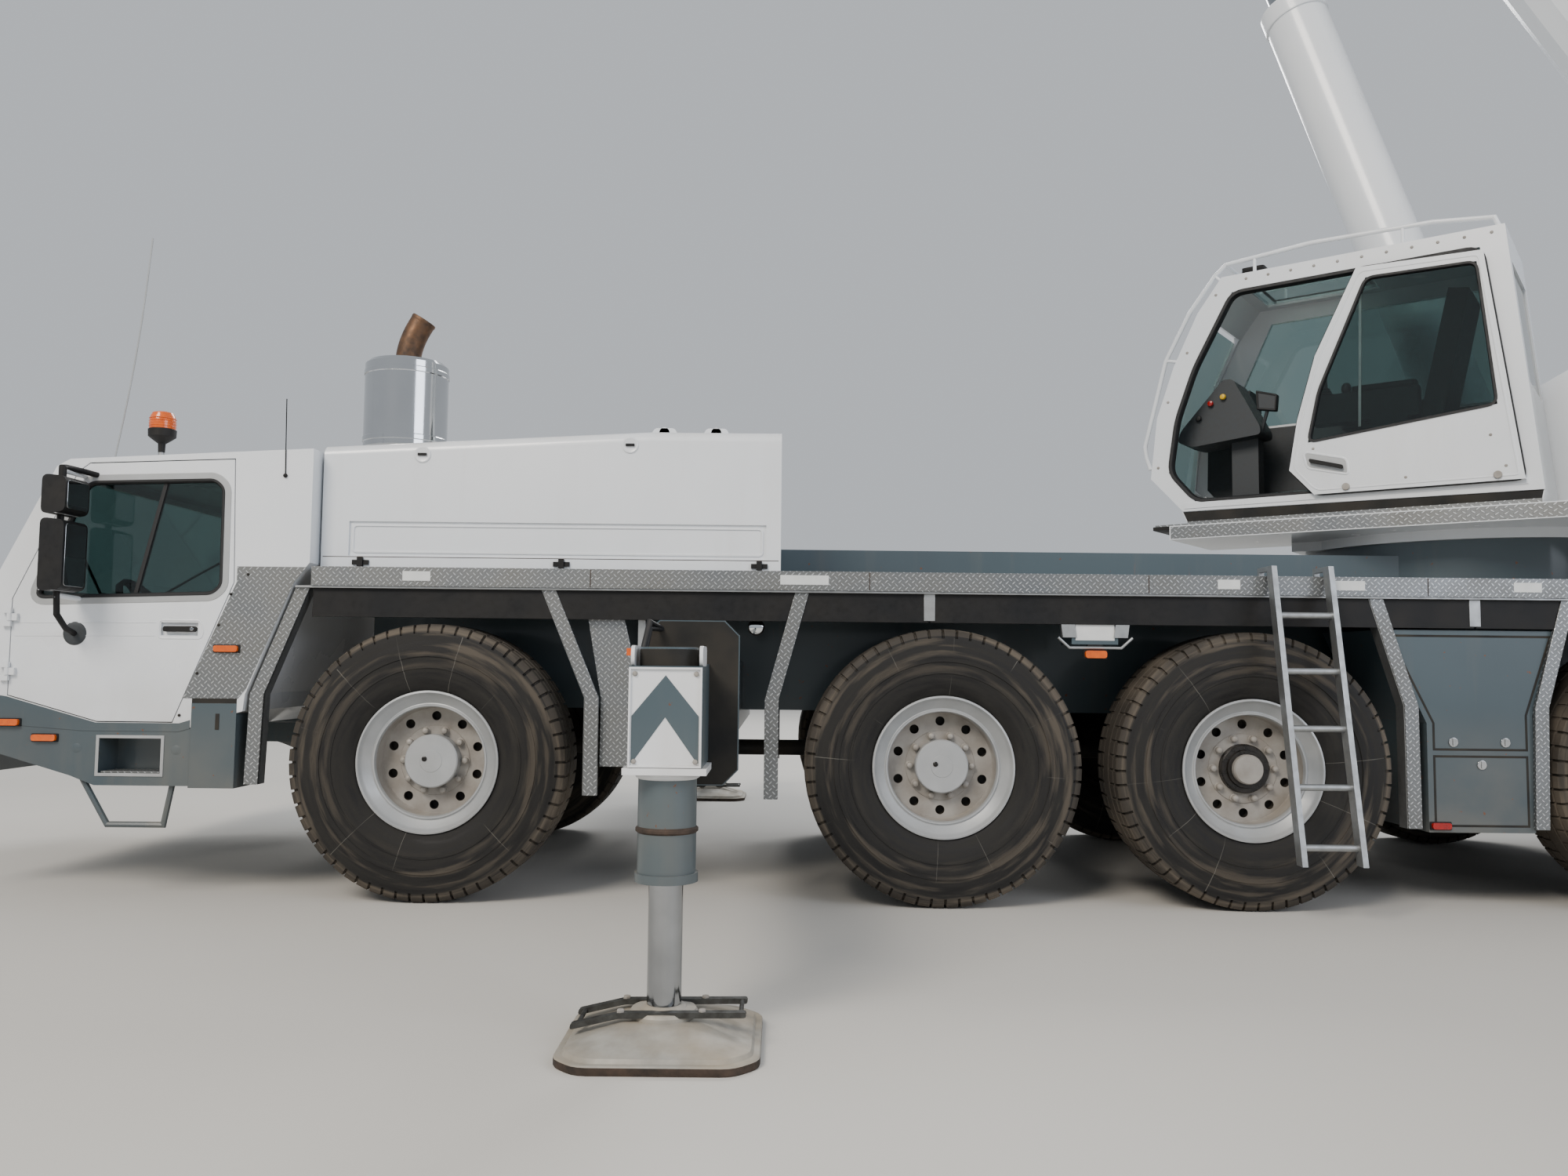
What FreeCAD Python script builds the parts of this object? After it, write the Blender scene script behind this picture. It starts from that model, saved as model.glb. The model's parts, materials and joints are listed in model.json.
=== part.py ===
"""An all-terrain mobile crane, standing on its wheels and outriggers with the boom raised.

Millimetres. The crane faces -X, its left side is -Y and +Z is up. The origin is on the floor below the
middle of its overall box. The superstructure is modelled facing forward and then turned about the slew
centre. In the superstructure "ahead" is the distance forward of the slew centre.
"""
import FreeCAD, Part

import math
import os

from FreeCAD import Vector

# Running gear
TYRE_R = 740.0
TYRE_W = 445.0
WHEEL_FACETS = 24
TYRE_FLAT_R = TYRE_R / math.cos(math.pi / WHEEL_FACETS)
WHEEL_FIT = 1.0
TRACK_HALF = 1265.0
RIM_R = 372.0
RIM_GUTTER_R = 300.0
DISC_IN, DISC_OUT = -40.0, 25.0
HUB_R = 143.0
SPINDLE_R = 60.0
KINGPIN_Y = 1130.0
CASING_W, CASING_H = 150.0, 170.0
KNUCKLE_GAP = 114.5
AXLES = (  # name, place along X, steered
    ("1", -3790.0, True),
    ("2", -1040.0, True),
    ("3", 610.0, False),
    ("4", 2960.0, True),
    ("5", 4610.0, True),
)
SEAT_GAP = 0.3   # between a moving piece and what carries it
SLIDE_GAP = 5.0  # round a beam in its tunnel

# Carrier
FRAME_HALF = 450.0
FRAME_LOW, DECK_TOP = 1000.0, 1780.0
FRAME_FRONT, FRAME_REAR = -4440.0, 6400.0
FRAME_WALL = 14.0
SPINE_HALF, SPINE_TOP = 600.0, 1980.0
JAW_REAR = 6500.0
TOW_R, TOW_X = 25.0, 6450.0
SPINE_FRONT, SPINE_REAR = -1920.0, 2080.0
DECK_HALF = 1450.0
DECK_EDGE = 103.0
DECK_PLATE = 10.0
DECK_FRONT, DECK_REAR = -4440.0, 6200.0
BODY_HALF = 1440.0

# Driver's cab
CAB_FRONT, CAB_REAR = -6500.0, -4455.0
CAB_FLOOR = 890.0
SCREEN_FOOT, SCREEN_HEAD = -6180.0, -5840.0
CAB_WALL = 45.0
CAB_ROOF_FRONT, CAB_ROOF_REAR = 2350.0, 2420.0
DOOR_T = 40.0
DOOR_GAP = 6.0
GLASS_T = 6.0
MIRROR_IN, MIRROR_OUT = 1540.0, 1740.0
HINGE_X, HINGE_Y = -6043.0, 1455.0
HINGE_Z = (1150.0, 1440.0)

# Engine cover
COVER_FRONT, COVER_REAR = -4440.0, -1920.0
COVER_HALF = 1330.0
COVER_LOW, COVER_TOP_FRONT, COVER_TOP_REAR = 1790.0, 2460.0, 2560.0
COVER_CREST_X = -2650.0
COVER_WALL = 20.0
COVER_ROUND = 60.0

# Exhaust
STACK_X, STACK_Y = -4170.0, -800.0
STACK_R, STACK_PIPE_R = 240.0, 75.0
STACK_TOP, STACK_PIPE_TOP = 3050.0, 3350.0

# Outriggers
BEAM_W, BEAM_H, BEAM_L = 240.0, 350.0, 2580.0
BEAM_Z = 1100.0
JACK_Y = 3700.0
JACK_R, JACK_LOW, JACK_TOP = 100.0, 540.0, 1330.0
JACK_STROKE = 400.0
ROD_R = 60.0
BOX_END_HALF = 124.0
FLOAT_HALF, FLOAT_H, FLOAT_CLIP = 330.0, 95.0, 0.25
BOX_HALF, BOX_WALL = 1250.0, 15.0
OUTRIGGERS = (  # name, place along X, side
    ("front_left", -2290.0, -1),
    ("front_right", -2580.0, 1),
    ("rear_left", 5750.0, -1),
    ("rear_right", 6040.0, 1),
)

# Superstructure
SLEW_X = 2600.0
SLEW_DEG = -38.0
RING_R, RING_TOP = 960.0, 2060.0
TABLE_TOP = 2200.0
CHEEK_IN, CHEEK_T = 430.0, 50.0
FOOT_AHEAD, FOOT_Z = -2000.0, 3400.0
FOOT_PIN_R = 80.0
LIFT_AHEAD, LIFT_Z = -220.0, 2280.0
LIFT_PIN_R = 70.0
HOUSE_OUT, HOUSE_TOP = 1300.0, 3120.0
HOUSE_REAR = -3000.0
TAIL_REAR, TAIL_LOW, TAIL_TOP = -3900.0, 2050.0, 3250.0
DRUM_AHEAD, DRUM_Z, DRUM_R, DRUM_HALF = -2640.0, 2620.0, 250.0, 380.0

# Boom
BOOM_DEG = 63.5
BOOM_DEEP, BOOM_WIDE, BOOM_WALL = 900.0, 660.0, 14.0
BOOM_BEVEL, BOOM_FOLDS = 90.0, 8
BOOM_L = 12000.0
NEST = 36.0
WEAR_GAP = 0.8
TIP_STEP = 280.0
INNER_SECTIONS = 3
EYE_ALONG, EYE_BELOW, EYE_R = 6200.0, 1100.0, 150.0
EAR_IN, EAR_T, EAR_R = 190.0, 40.0, 210.0
BARREL_R, BARREL_L, LIFT_ROD_R, LIFT_ROD_L = 210.0, 4060.0, 130.0, 3900.0
SHEAVE_R, SHEAVE_T, SHEAVE_FACETS = 190.0, 44.0, 14
SHEAVE_ROWS = (-90.0, 0.0, 90.0)
HEAD_L, HEAD_PIN, HEAD_BELOW, HEAD_PIN_R = 620.0, 380.0, 560.0, 45.0
ROPE_R = 11.0
HOOK_DROP = 1500.0

# Crane cab, in the superstructure
CC_OUT, CC_IN = 1300.0, 490.0
CC_WALL = 40.0
CC_SILL = 2210.0
CC_DOOR_T = 35.0

PARTS = "parts"


def box(x0, x1, y0, y1, z0, z1):
    """Upright box between two corners."""
    return Part.makeBox(x1 - x0, y1 - y0, z1 - z0, Vector(x0, y0, z0))


def side_prism(points, y0, y1):
    """An outline in X and Z, extruded from y0 to y1."""
    wire = Part.makePolygon([Vector(x, y0, z) for x, z in points + points[:1]])
    return Part.Face(wire).extrude(Vector(0, y1 - y0, 0))


def front_prism(points, x0, x1):
    """An outline in Y and Z, extruded from x0 to x1."""
    wire = Part.makePolygon([Vector(x0, y, z) for y, z in points + points[:1]])
    return Part.Face(wire).extrude(Vector(x1 - x0, 0, 0))


def rod(start, end, radius):
    """Round bar between two points."""
    start, end = Vector(*start), Vector(*end)
    run = end - start
    return Part.makeCylinder(radius, run.Length, start, run)


def bar_path(points, radius):
    """Eight-sided bar along straight runs, mitred at each corner."""
    places = [Vector(*p) for p in points]
    runs = [(b - a).normalize() for a, b in zip(places, places[1:])]
    across = runs[0].cross(Vector(0, 1, 0) if abs(runs[0].y) < 0.9 else Vector(1, 0, 0)).normalize()
    up = runs[0].cross(across)
    ring = [places[0] + across * (radius * math.cos(a)) + up * (radius * math.sin(a))
            for a in (math.radians(45 * k) for k in range(8))]
    rings = [ring]
    for k, run in enumerate(runs):
        onward = runs[k + 1] if k + 1 < len(runs) else run
        normal = (run + onward).normalize()
        ring = [c + run * ((places[k + 1] - c).dot(normal) / run.dot(normal)) for c in ring]
        rings.append(ring)
    faces = [Part.Face(Part.makePolygon(end + end[:1])) for end in (rings[0], rings[-1])]
    for low, high in zip(rings, rings[1:]):
        for k in range(8):
            n = (k + 1) % 8
            faces.append(Part.Face(Part.makePolygon([low[k], low[n], high[n], high[k], low[k]])))
    return closed(faces)


def closed(faces):
    """The solid inside a closed set of faces."""
    solid = Part.Solid(Part.Shell(faces))
    if solid.Volume < 0:
        solid.reverse()
    return solid


def turned(profile, centre, side, facets):
    """Sweep a profile of (radius, distance outwards) round a lateral axis, in flats of which one faces down."""
    step = 2 * math.pi / facets
    faces = []
    for k in range(facets):
        ring = []
        for angle in ((k - 0.5) * step, (k + 0.5) * step):
            ring.append([Vector(centre[0] + r * math.sin(angle), centre[1] + side * y, centre[2] - r * math.cos(angle))
                         for r, y in profile])
        for j in range(len(profile) - 1):
            corners = [ring[0][j], ring[0][j + 1], ring[1][j + 1], ring[1][j]]
            corners = [c for i, c in enumerate(corners) if (c - corners[i - 1]).Length > 1e-6]
            faces.append(Part.Face(Part.makePolygon(corners + corners[:1])))
    return closed(faces)


def sheave(centre, radius=SHEAVE_R):
    """A rope sheave with a grooved rim, on a lateral axis."""
    half = SHEAVE_T / 2
    profile = [(0, -half), (radius, -half), (radius - ROPE_R, 0), (radius, half), (0, half)]
    return turned(profile, centre, 1, SHEAVE_FACETS)


def join(shapes):
    """One solid, or a compound where the pieces stay apart."""
    result = shapes[0]
    if len(shapes) > 1:
        result = shapes[0].multiFuse(shapes[1:]).removeSplitter()
    return result


def mirrored(shape):
    """The same piece on the other side of the centre plane."""
    return shape.mirror(Vector(0, 0, 0), Vector(0, 1, 0))


def both_sides(shape):
    """A piece and its mirror image."""
    return [shape, mirrored(shape)]


def scaled_outline(points, inset):
    """A convex outline moved inwards by inset."""
    centre = (sum(p[0] for p in points) / len(points), sum(p[1] for p in points) / len(points))
    lines = []
    for (x0, z0), (x1, z1) in zip(points, points[1:] + points[:1]):
        length = math.hypot(x1 - x0, z1 - z0)
        nx, nz = (z1 - z0) / length, -(x1 - x0) / length
        if nx * (centre[0] - x0) + nz * (centre[1] - z0) < 0:
            nx, nz = -nx, -nz
        lines.append((nx, nz, nx * x0 + nz * z0 + inset))
    result = []
    for (a, b, c), (d, e, f) in zip(lines[-1:] + lines[:-1], lines):
        det = a * e - b * d
        result.append(((c * e - b * f) / det, (a * f - c * d) / det))
    return result


def ahead(points):
    """Turn (ahead, height) pairs of the superstructure into X and Z."""
    return [(SLEW_X - p, z) for p, z in points]


def slewed(shape):
    """Turn a superstructure piece to its place at rest."""
    turned_shape = shape.copy()
    turned_shape.rotate(Vector(SLEW_X, 0, 0), Vector(0, 0, 1), SLEW_DEG)
    return turned_shape


def on_boom(shape):
    """Place a piece drawn along +X from the boom foot pin, top side +Z, onto the raised boom."""
    placed = shape.copy()
    placed.rotate(Vector(0, 0, 0), Vector(0, 0, 1), 180)
    placed.rotate(Vector(0, 0, 0), Vector(0, 1, 0), BOOM_DEG)
    placed.translate(Vector(SLEW_X - FOOT_AHEAD, 0, FOOT_Z))
    return placed


# Wheels, knuckles and axles

def wheel(x, side):
    """Tyre and rim: tread, shoulders, side walls, rim gutter, disc and hub cap, with a spindle bore."""
    half = TYRE_W / 2
    profile = [
        (0, DISC_IN + 35), (SPINDLE_R + WHEEL_FIT, DISC_IN + 35), (SPINDLE_R + WHEEL_FIT, DISC_IN),
        (RIM_GUTTER_R, DISC_IN), (RIM_R, -half + 45),
        (TYRE_R - 45, -half), (TYRE_FLAT_R, -half + 45), (TYRE_FLAT_R, half - 45), (TYRE_R - 45, half),
        (RIM_R, half - 45), (RIM_GUTTER_R, DISC_OUT), (HUB_R, DISC_OUT), (HUB_R - 10, DISC_OUT + 90),
        (0, DISC_OUT + 90),
    ]
    return turned(profile, (x, side * TRACK_HALF, TYRE_R), side, WHEEL_FACETS)


def knuckle(x, side):
    """Fork over and under the kingpin boss, with the wheel's spindle."""
    y_in, y_out = KINGPIN_Y - 60, TRACK_HALF + DISC_IN - 12
    web = y_out - 22
    pieces = [
        box(x - 75, x + 75, y_in, y_out, TYRE_R + 115, TYRE_R + 150),
        box(x - 75, x + 75, y_in, y_out, TYRE_R - 150, TYRE_R - 115),
        box(x - 75, x + 75, web, y_out, TYRE_R - 150, TYRE_R + 150),
        rod((x, y_out, TYRE_R), (x, TRACK_HALF + DISC_IN + 30, TYRE_R), SPINDLE_R),
        box(x - 260, x - 75, y_in, y_in + 40, TYRE_R - 150, TYRE_R - 115),
    ]
    shape = join(pieces)
    return shape if side > 0 else mirrored(shape)


def axle_beams():
    """Driven axles: box casings with differentials, kingpin bosses, links to the frame and propeller shafts."""
    pieces = []
    for _, x, steered in AXLES:
        casing = KINGPIN_Y + 15 if steered else TRACK_HALF + DISC_IN - 12
        deep, wide = CASING_H / 2, CASING_W / 2
        pieces.append(box(x - wide, x + wide, -casing, casing, TYRE_R - deep, TYRE_R + deep))
        pieces.append(front_prism([(-230, TYRE_R), (-130, TYRE_R - 180), (130, TYRE_R - 180), (230, TYRE_R),
                                   (130, TYRE_R + 180), (-130, TYRE_R + 180)], x - 130, x + 170))
        for side in (-1, 1):
            y0, y1 = sorted((side * 330, side * 420))
            pieces.append(box(x - 45, x + 45, y0, y1, TYRE_R, FRAME_LOW))
            if steered:
                low, high = TYRE_R - KNUCKLE_GAP, TYRE_R + KNUCKLE_GAP
                pieces.append(rod((x, side * KINGPIN_Y, low), (x, side * KINGPIN_Y, high), 50))
            else:
                end = TRACK_HALF + DISC_IN + 30
                pieces.append(rod((x, side * (casing - 1), TYRE_R), (x, side * end, TYRE_R), SPINDLE_R))
    for (_, x0, _), (_, x1, _) in zip(AXLES, AXLES[1:]):
        pieces.append(rod((x0 + 169, 0, TYRE_R), (x1 - 129, 0, TYRE_R), 50))
    return join(pieces)


# Carrier

def chassis_frame():
    """Box frame with its raised spine and the slew ring, and the tow jaw at the rear."""
    outer = box(FRAME_FRONT, FRAME_REAR, -FRAME_HALF, FRAME_HALF, FRAME_LOW, DECK_TOP - DECK_PLATE)
    inner = box(FRAME_FRONT - 1, FRAME_REAR + 1, -FRAME_HALF + FRAME_WALL, FRAME_HALF - FRAME_WALL,
                FRAME_LOW + FRAME_WALL, DECK_TOP - DECK_PLATE - FRAME_WALL)
    frame = outer.cut(inner)
    spine = side_prism([(SPINE_FRONT, DECK_TOP - DECK_PLATE), (SPINE_FRONT, SPINE_TOP),
                        (SPINE_REAR, SPINE_TOP), (SPINE_REAR - 250, DECK_TOP - DECK_PLATE)],
                       -SPINE_HALF, SPINE_HALF)
    ring = Part.makeCylinder(RING_R, RING_TOP - DECK_TOP + DECK_PLATE, Vector(SLEW_X, 0, DECK_TOP - DECK_PLATE))
    nose = join(both_sides(box(CAB_FRONT + 120, FRAME_FRONT, 330, 400, 770, CAB_FLOOR - SEAT_GAP)))
    riser = box(FRAME_FRONT - 40, FRAME_FRONT + 200, -400, 400, 770, FRAME_LOW)
    jaw = box(FRAME_REAR - 20, JAW_REAR, -110, 110, 1080, 1280)
    jaw = jaw.cut(box(FRAME_REAR + 10, JAW_REAR + 1, -111, 111, 1130, 1230))
    jaw = jaw.cut(Part.makeCylinder(TOW_R, 300, Vector(TOW_X, 0, 1000)))
    plate = box(FRAME_REAR - 14, FRAME_REAR, -FRAME_HALF, FRAME_HALF, FRAME_LOW, DECK_TOP - DECK_PLATE)
    body = join([frame, spine, ring, riser, nose, plate, jaw])
    for _, x, _ in OUTRIGGERS:
        body = body.cut(beam_cut(x))
    return body


def beam_cut(x):
    """The way of an outrigger box through the frame."""
    half_x, half_z = BEAM_W / 2 + SLIDE_GAP + BOX_WALL, BEAM_H / 2 + SLIDE_GAP + BOX_WALL
    return box(x - half_x, x + half_x, -BOX_HALF, BOX_HALF, BEAM_Z - half_z, BEAM_Z + half_z)


def outrigger_boxes():
    """Cross boxes with a tunnel for each beam; the floor of a tunnel carries its beam."""
    solids = []
    for _, x, _ in OUTRIGGERS:
        outer = beam_cut(x)
        half_x = BEAM_W / 2 + SLIDE_GAP
        tunnel = box(x - half_x, x + half_x, -BOX_HALF - 1, BOX_HALF + 1,
                     BEAM_Z - BEAM_H / 2 - SEAT_GAP, BEAM_Z + BEAM_H / 2 + SLIDE_GAP)
        solids.append(outer.cut(tunnel))
    return join(solids)


def deck_plates():
    """Chequered deck each side of the frame, with its folded edge and cross bearers."""
    z0, z1 = DECK_TOP - DECK_PLATE, DECK_TOP
    plate = box(DECK_FRONT, DECK_REAR, 0, DECK_HALF, z0, z1)
    edge = box(DECK_FRONT, DECK_REAR, DECK_HALF - DECK_PLATE, DECK_HALF, DECK_TOP - DECK_EDGE, z0)
    bearers = []
    for x in (-4380.0, -2440.0, -1900.0, -215.0, 1785.0, 3785.0, 5560.0, 6150.0):
        bearers.append(box(x - 25, x + 25, FRAME_HALF, DECK_HALF - DECK_PLATE, DECK_TOP - DECK_EDGE, z0))
    half = join([plate, edge] + bearers)
    both = join(both_sides(half))
    keep_out = box(SPINE_FRONT, SPINE_REAR, -SPINE_HALF, SPINE_HALF, z0 - 1, z1 + 1)
    ring = Part.makeCylinder(RING_R, 40, Vector(SLEW_X, 0, z0 - 10))
    return both.cut(keep_out).cut(ring)


MUDGUARD_LOW = 1510.0
STAYS = (  # top X, knee X, foot X, foot Z: the slanted ends of the wheel arches
    (-4490.0, -4720.0, -4735.0, 610.0),
    (-3170.0, -2925.0, -2925.0, 570.0),
    (-1800.0, -1960.0, -1960.0, 560.0),
    (1290.0, 1470.0, 1475.0, 440.0),
    (2330.0, 2170.0, 2155.0, 440.0),
)


def mudguards():
    """Black panels under the deck edge, and the chequered stays between the wheels."""
    solids = []
    y0, y1 = DECK_HALF - 45, DECK_HALF - 30
    panel = box(-4440, 5560, y0, y1, MUDGUARD_LOW, DECK_TOP - DECK_EDGE)
    pieces = [panel]
    for top, knee, foot, low in STAYS:
        w = 75.0
        outline = [(top - w / 2, DECK_TOP - DECK_EDGE), (top + w / 2, DECK_TOP - DECK_EDGE),
                   (knee + w / 2, 1090), (foot + w / 2, low), (foot - w / 2, low), (knee - w / 2, 1090)]
        pieces.append(side_prism(outline, y0, y1))
    pieces.append(box(DECK_FRONT - 90, 5560, y0, DECK_HALF - DECK_PLATE, DECK_TOP - DECK_EDGE - 12, DECK_TOP - DECK_EDGE))
    solids.append(join(pieces))
    solids.append(side_prism([(-2930, DECK_TOP - DECK_EDGE), (-2990, DECK_TOP - DECK_EDGE), (-2885, 1090), (-2885, 720),
                              (-2712, 720), (-2712, 1300), (-2800, DECK_TOP - DECK_EDGE)], y0 - 40, y0))
    return join(both_sides(join(solids)))


def side_boxes():
    """Grey lockers under the deck, both sides."""
    locker = side_prism([(1330, MUDGUARD_LOW - 10), (2290, MUDGUARD_LOW - 10), (2130, 1050), (2130, 420),
                         (1560, 420), (1560, 1000)], 700, 1400)
    small = box(-345, -95, 1150, DECK_HALF - 45 - SEAT_GAP, 1404, DECK_TOP - DECK_EDGE - 12.0)
    tank = box(3450, 4100, FRAME_HALF, 760, 1150, DECK_TOP - DECK_EDGE)
    hanger = box(1700, 1900, 700, 800, MUDGUARD_LOW - 10, DECK_TOP - DECK_EDGE)
    rear = box(5200, 5560, 500, 1400, 1320, DECK_TOP - DECK_EDGE)
    return join(both_sides(join([join([locker, hanger]), small, tank, rear])))


# Driver's cab

CAB_OUTLINE = [
    (CAB_FRONT, 960.0), (CAB_FRONT, 1480.0), (-6400.0, 1590.0), (SCREEN_FOOT, 1620.0), (SCREEN_HEAD, 2310.0),
    (-5770.0, CAB_ROOF_FRONT), (CAB_REAR, CAB_ROOF_REAR), (CAB_REAR, 1800.0), (-4540.0, 1690.0), (-4775.0, 1090.0),
    (-4785.0, 1000.0), (-5120.0, CAB_FLOOR),
    (-5640.0, CAB_FLOOR),
]
CABIN_OUTLINE = [
    (-6130.0, 1640.0), (-5810.0, 2290.0), (-5760.0, CAB_ROOF_FRONT - CAB_WALL),
    (CAB_REAR - CAB_WALL, CAB_ROOF_REAR - CAB_WALL), (CAB_REAR - CAB_WALL, 1830.0), (-4830.0, 1090.0), (-4840.0, 1040.0),
    (-5120.0, CAB_FLOOR + CAB_WALL), (-5630.0, CAB_FLOOR + CAB_WALL), (-6130.0, 1130.0),
]
DOOR_OUTLINE = [(-6040.0, 1075.0), (-6040.0, 1590.0), (-5720.0, 2280.0), (-5660.0, 2325.0), (-4880.0, 2355.0),
                (-4860.0, 1690.0), (-5160.0, 940.0), (-5560.0, 940.0)]
DOOR_WINDOW = [(-5925.0, 1595.0), (-5690.0, 2190.0), (-5640.0, 2225.0), (-4980.0, 2245.0), (-4930.0, 2200.0),
               (-4925.0, 1670.0), (-4975.0, 1625.0)]
REAR_WINDOW = (1000.0, 1950.0, 2300.0)


def carrier_cab():
    """Hollow cab shell with its raked windscreen, rear window and both door openings cut, and door hinges."""
    shell = side_prism(CAB_OUTLINE, -BODY_HALF, BODY_HALF)
    shell = shell.cut(side_prism(CABIN_OUTLINE, -BODY_HALF + CAB_WALL, BODY_HALF - CAB_WALL))
    shell = shell.cut(windscreen_block(0))
    half, low, high = REAR_WINDOW
    shell = shell.cut(box(CAB_REAR - CAB_WALL - 40, CAB_REAR + 10, -half, half, low, high))
    opening = scaled_outline(DOOR_OUTLINE, -DOOR_GAP)
    hinges = []
    for side in (-1, 1):
        y0, y1 = sorted((side * (BODY_HALF - DOOR_T - DOOR_GAP - 20), side * (BODY_HALF + 5)))
        shell = shell.cut(side_prism(opening, y0, y1))
    for z in HINGE_Z:
        pin = Part.makeCylinder(8, 100, Vector(HINGE_X, HINGE_Y, z))
        lugs = [box(HINGE_X - 40, HINGE_X + 8, BODY_HALF - 1, HINGE_Y + 8, a, a + 29) for a in (z, z + 71)]
        lugs = [lug.cut(box(HINGE_X - 3.5, HINGE_X + 20, BODY_HALF - 2, BODY_HALF + 4, z - 1, z + 101)) for lug in lugs]
        hinges += both_sides(join([pin] + lugs))
    return join([shell] + hinges)


def windscreen_block(gap):
    """The windscreen's place through the raked front, less a gap all round."""
    lean = (SCREEN_HEAD - SCREEN_FOOT) / 690.0
    low, high = 1665.0 + gap, 2265.0 - gap
    x_low, x_high = SCREEN_FOOT + lean * (low - 1620), SCREEN_FOOT + lean * (high - 1620)
    half = BODY_HALF - 90 - gap
    return side_prism([(x_low - 60, low), (x_low + 150, low), (x_high + 150, high), (x_high - 60, high)], -half, half)


def carrier_cab_glass():
    """Windscreen and rear window, each a pane that fills its opening."""
    slab = side_prism([(SCREEN_FOOT + 20, 1620), (SCREEN_FOOT + 20 + GLASS_T, 1620),
                       (SCREEN_HEAD + 20 + GLASS_T, 2310), (SCREEN_HEAD + 20, 2310)], -BODY_HALF, BODY_HALF)
    half, low, high = REAR_WINDOW
    rear = box(CAB_REAR - 25, CAB_REAR - 25 + GLASS_T, -half + SEAT_GAP, half - SEAT_GAP, low + SEAT_GAP, high - SEAT_GAP)
    return Part.makeCompound([slab.common(windscreen_block(SEAT_GAP)), rear])


def carrier_cab_interior():
    """Dashboard, two seats, steering column and wheel, standing on the cab floor."""
    floor = CAB_FLOOR + CAB_WALL + SEAT_GAP
    half = BODY_HALF - CAB_WALL - 5
    dash = side_prism([(-6129.7, 1135), (-6129.7, 1560), (-6000, 1590), (-5850, 1520), (-5900, 1100)], -half + 60, half - 60)
    pieces = [dash]
    for side in (-1, 1):
        y = side * 850
        seat = join([
            box(-5480, -4960, y - 250, y + 250, 1250, 1370),
            side_prism([(-5020, 1370), (-4910, 1370), (-4780, 2000), (-4880, 2000)], y - 240, y + 240),
            box(-5400, -5125, y - 180, y + 180, floor, 1250),
        ])
        pieces.append(seat)
    wheel_x, wheel_z = -5640.0, 1560.0
    column = rod((-5950, -850, 1327), (wheel_x, -850, wheel_z), 35)
    hoop = turned([(190, -14), (218, -14), (218, 14), (190, 14), (190, -14)], (0, 0, 0), 1, 16)
    hoop = join([hoop, box(-200, 200, -10, 10, -20, 20)])
    hoop.rotate(Vector(0, 0, 0), Vector(1, 0, 0), 90)
    hoop.rotate(Vector(0, 0, 0), Vector(0, 1, 0), 53)
    hoop.translate(Vector(wheel_x, -850, wheel_z))
    return join(pieces + [join([column, hoop])])


def carrier_door(side):
    """One cab door, as thick as the door, with its window cut and its handle recess."""
    y0 = BODY_HALF - DOOR_T
    door = side_prism(DOOR_OUTLINE, y0, BODY_HALF)
    door = door.cut(side_prism(DOOR_WINDOW, y0 - 1, BODY_HALF + 1))
    door = door.cut(box(-5240, -5040, BODY_HALF - 18, BODY_HALF + 1, 1400, 1470))
    arm_y = (MIRROR_IN + MIRROR_OUT) / 2
    mirror = [box(-5720, -5650, MIRROR_IN, MIRROR_OUT, 2020, 2215), box(-5720, -5650, MIRROR_IN, MIRROR_OUT, 1620, 1990)]
    mirror.append(bar_path([(-5685, BODY_HALF - 10, 2255), (-5685, arm_y, 2255), (-5685, arm_y, 1600),
                            (-5685, BODY_HALF - 10, 1590)], 14))
    for z in HINGE_Z:
        ring = Part.makeCylinder(14, 38, Vector(HINGE_X, HINGE_Y, z + 31))
        tab = box(HINGE_X + 4, HINGE_X + 40, BODY_HALF - 1, HINGE_Y + 5, z + 31, z + 69)
        mirror.append(join([ring, tab]).cut(Part.makeCylinder(8 + SEAT_GAP, 100, Vector(HINGE_X, HINGE_Y, z))))
    door = join([door] + mirror)
    return door if side > 0 else mirrored(door)


def carrier_door_glass(side):
    """The pane of a cab door."""
    pane = side_prism(scaled_outline(DOOR_WINDOW, SEAT_GAP), BODY_HALF - 24, BODY_HALF - 24 + GLASS_T)
    return pane if side > 0 else mirrored(pane)


BUMPER_OUTLINE = [(CAB_FRONT, 820.0), (CAB_FRONT, 960.0), (-5640.0, CAB_FLOOR), (-5120.0, CAB_FLOOR),
                  (-5060.0, 905.0), (-5060.0, 600.0), (-5560.0, 600.0), (-5690.0, 650.0), (-6100.0, 770.0)]
STEP_RECESS = (-5540.0, -5210.0, 665.0, 850.0)


def front_bumper():
    """Lower front bumper with its side skirts, step recesses, stirrups and the grey side box behind the door."""
    shape = side_prism(BUMPER_OUTLINE, -BODY_HALF, BODY_HALF)
    shape = shape.cut(side_prism([(-6430, 700), (-6430, 1100), (-5000, 1100), (-5000, 500), (-5700, 500)],
                                 -BODY_HALF + 220, BODY_HALF - 220))
    x0, x1, z0, z1 = STEP_RECESS
    pieces = []
    for side in (-1, 1):
        y0, y1 = sorted((side * (BODY_HALF - 180), side * (BODY_HALF + 1)))
        shape = shape.cut(box(x0, x1, y0, y1, z0, z1))
        y0, y1 = sorted((side * (BODY_HALF - 220), side * BODY_HALF))
        pieces.append(side_prism([(-5060, 590), (-4815, 590), (-4815, 985), (-5060, 905)], y0, y1))
    y = BODY_HALF - 40
    pieces += both_sides(bar_path([(-5660, y, 660), (-5500, y, 390), (-5200, y, 390), (-5160, y, 610)], 16))
    front = box(CAB_FRONT, CAB_FRONT + 60, -BODY_HALF, BODY_HALF, 620, 822)
    return join([shape, front] + pieces)


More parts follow.
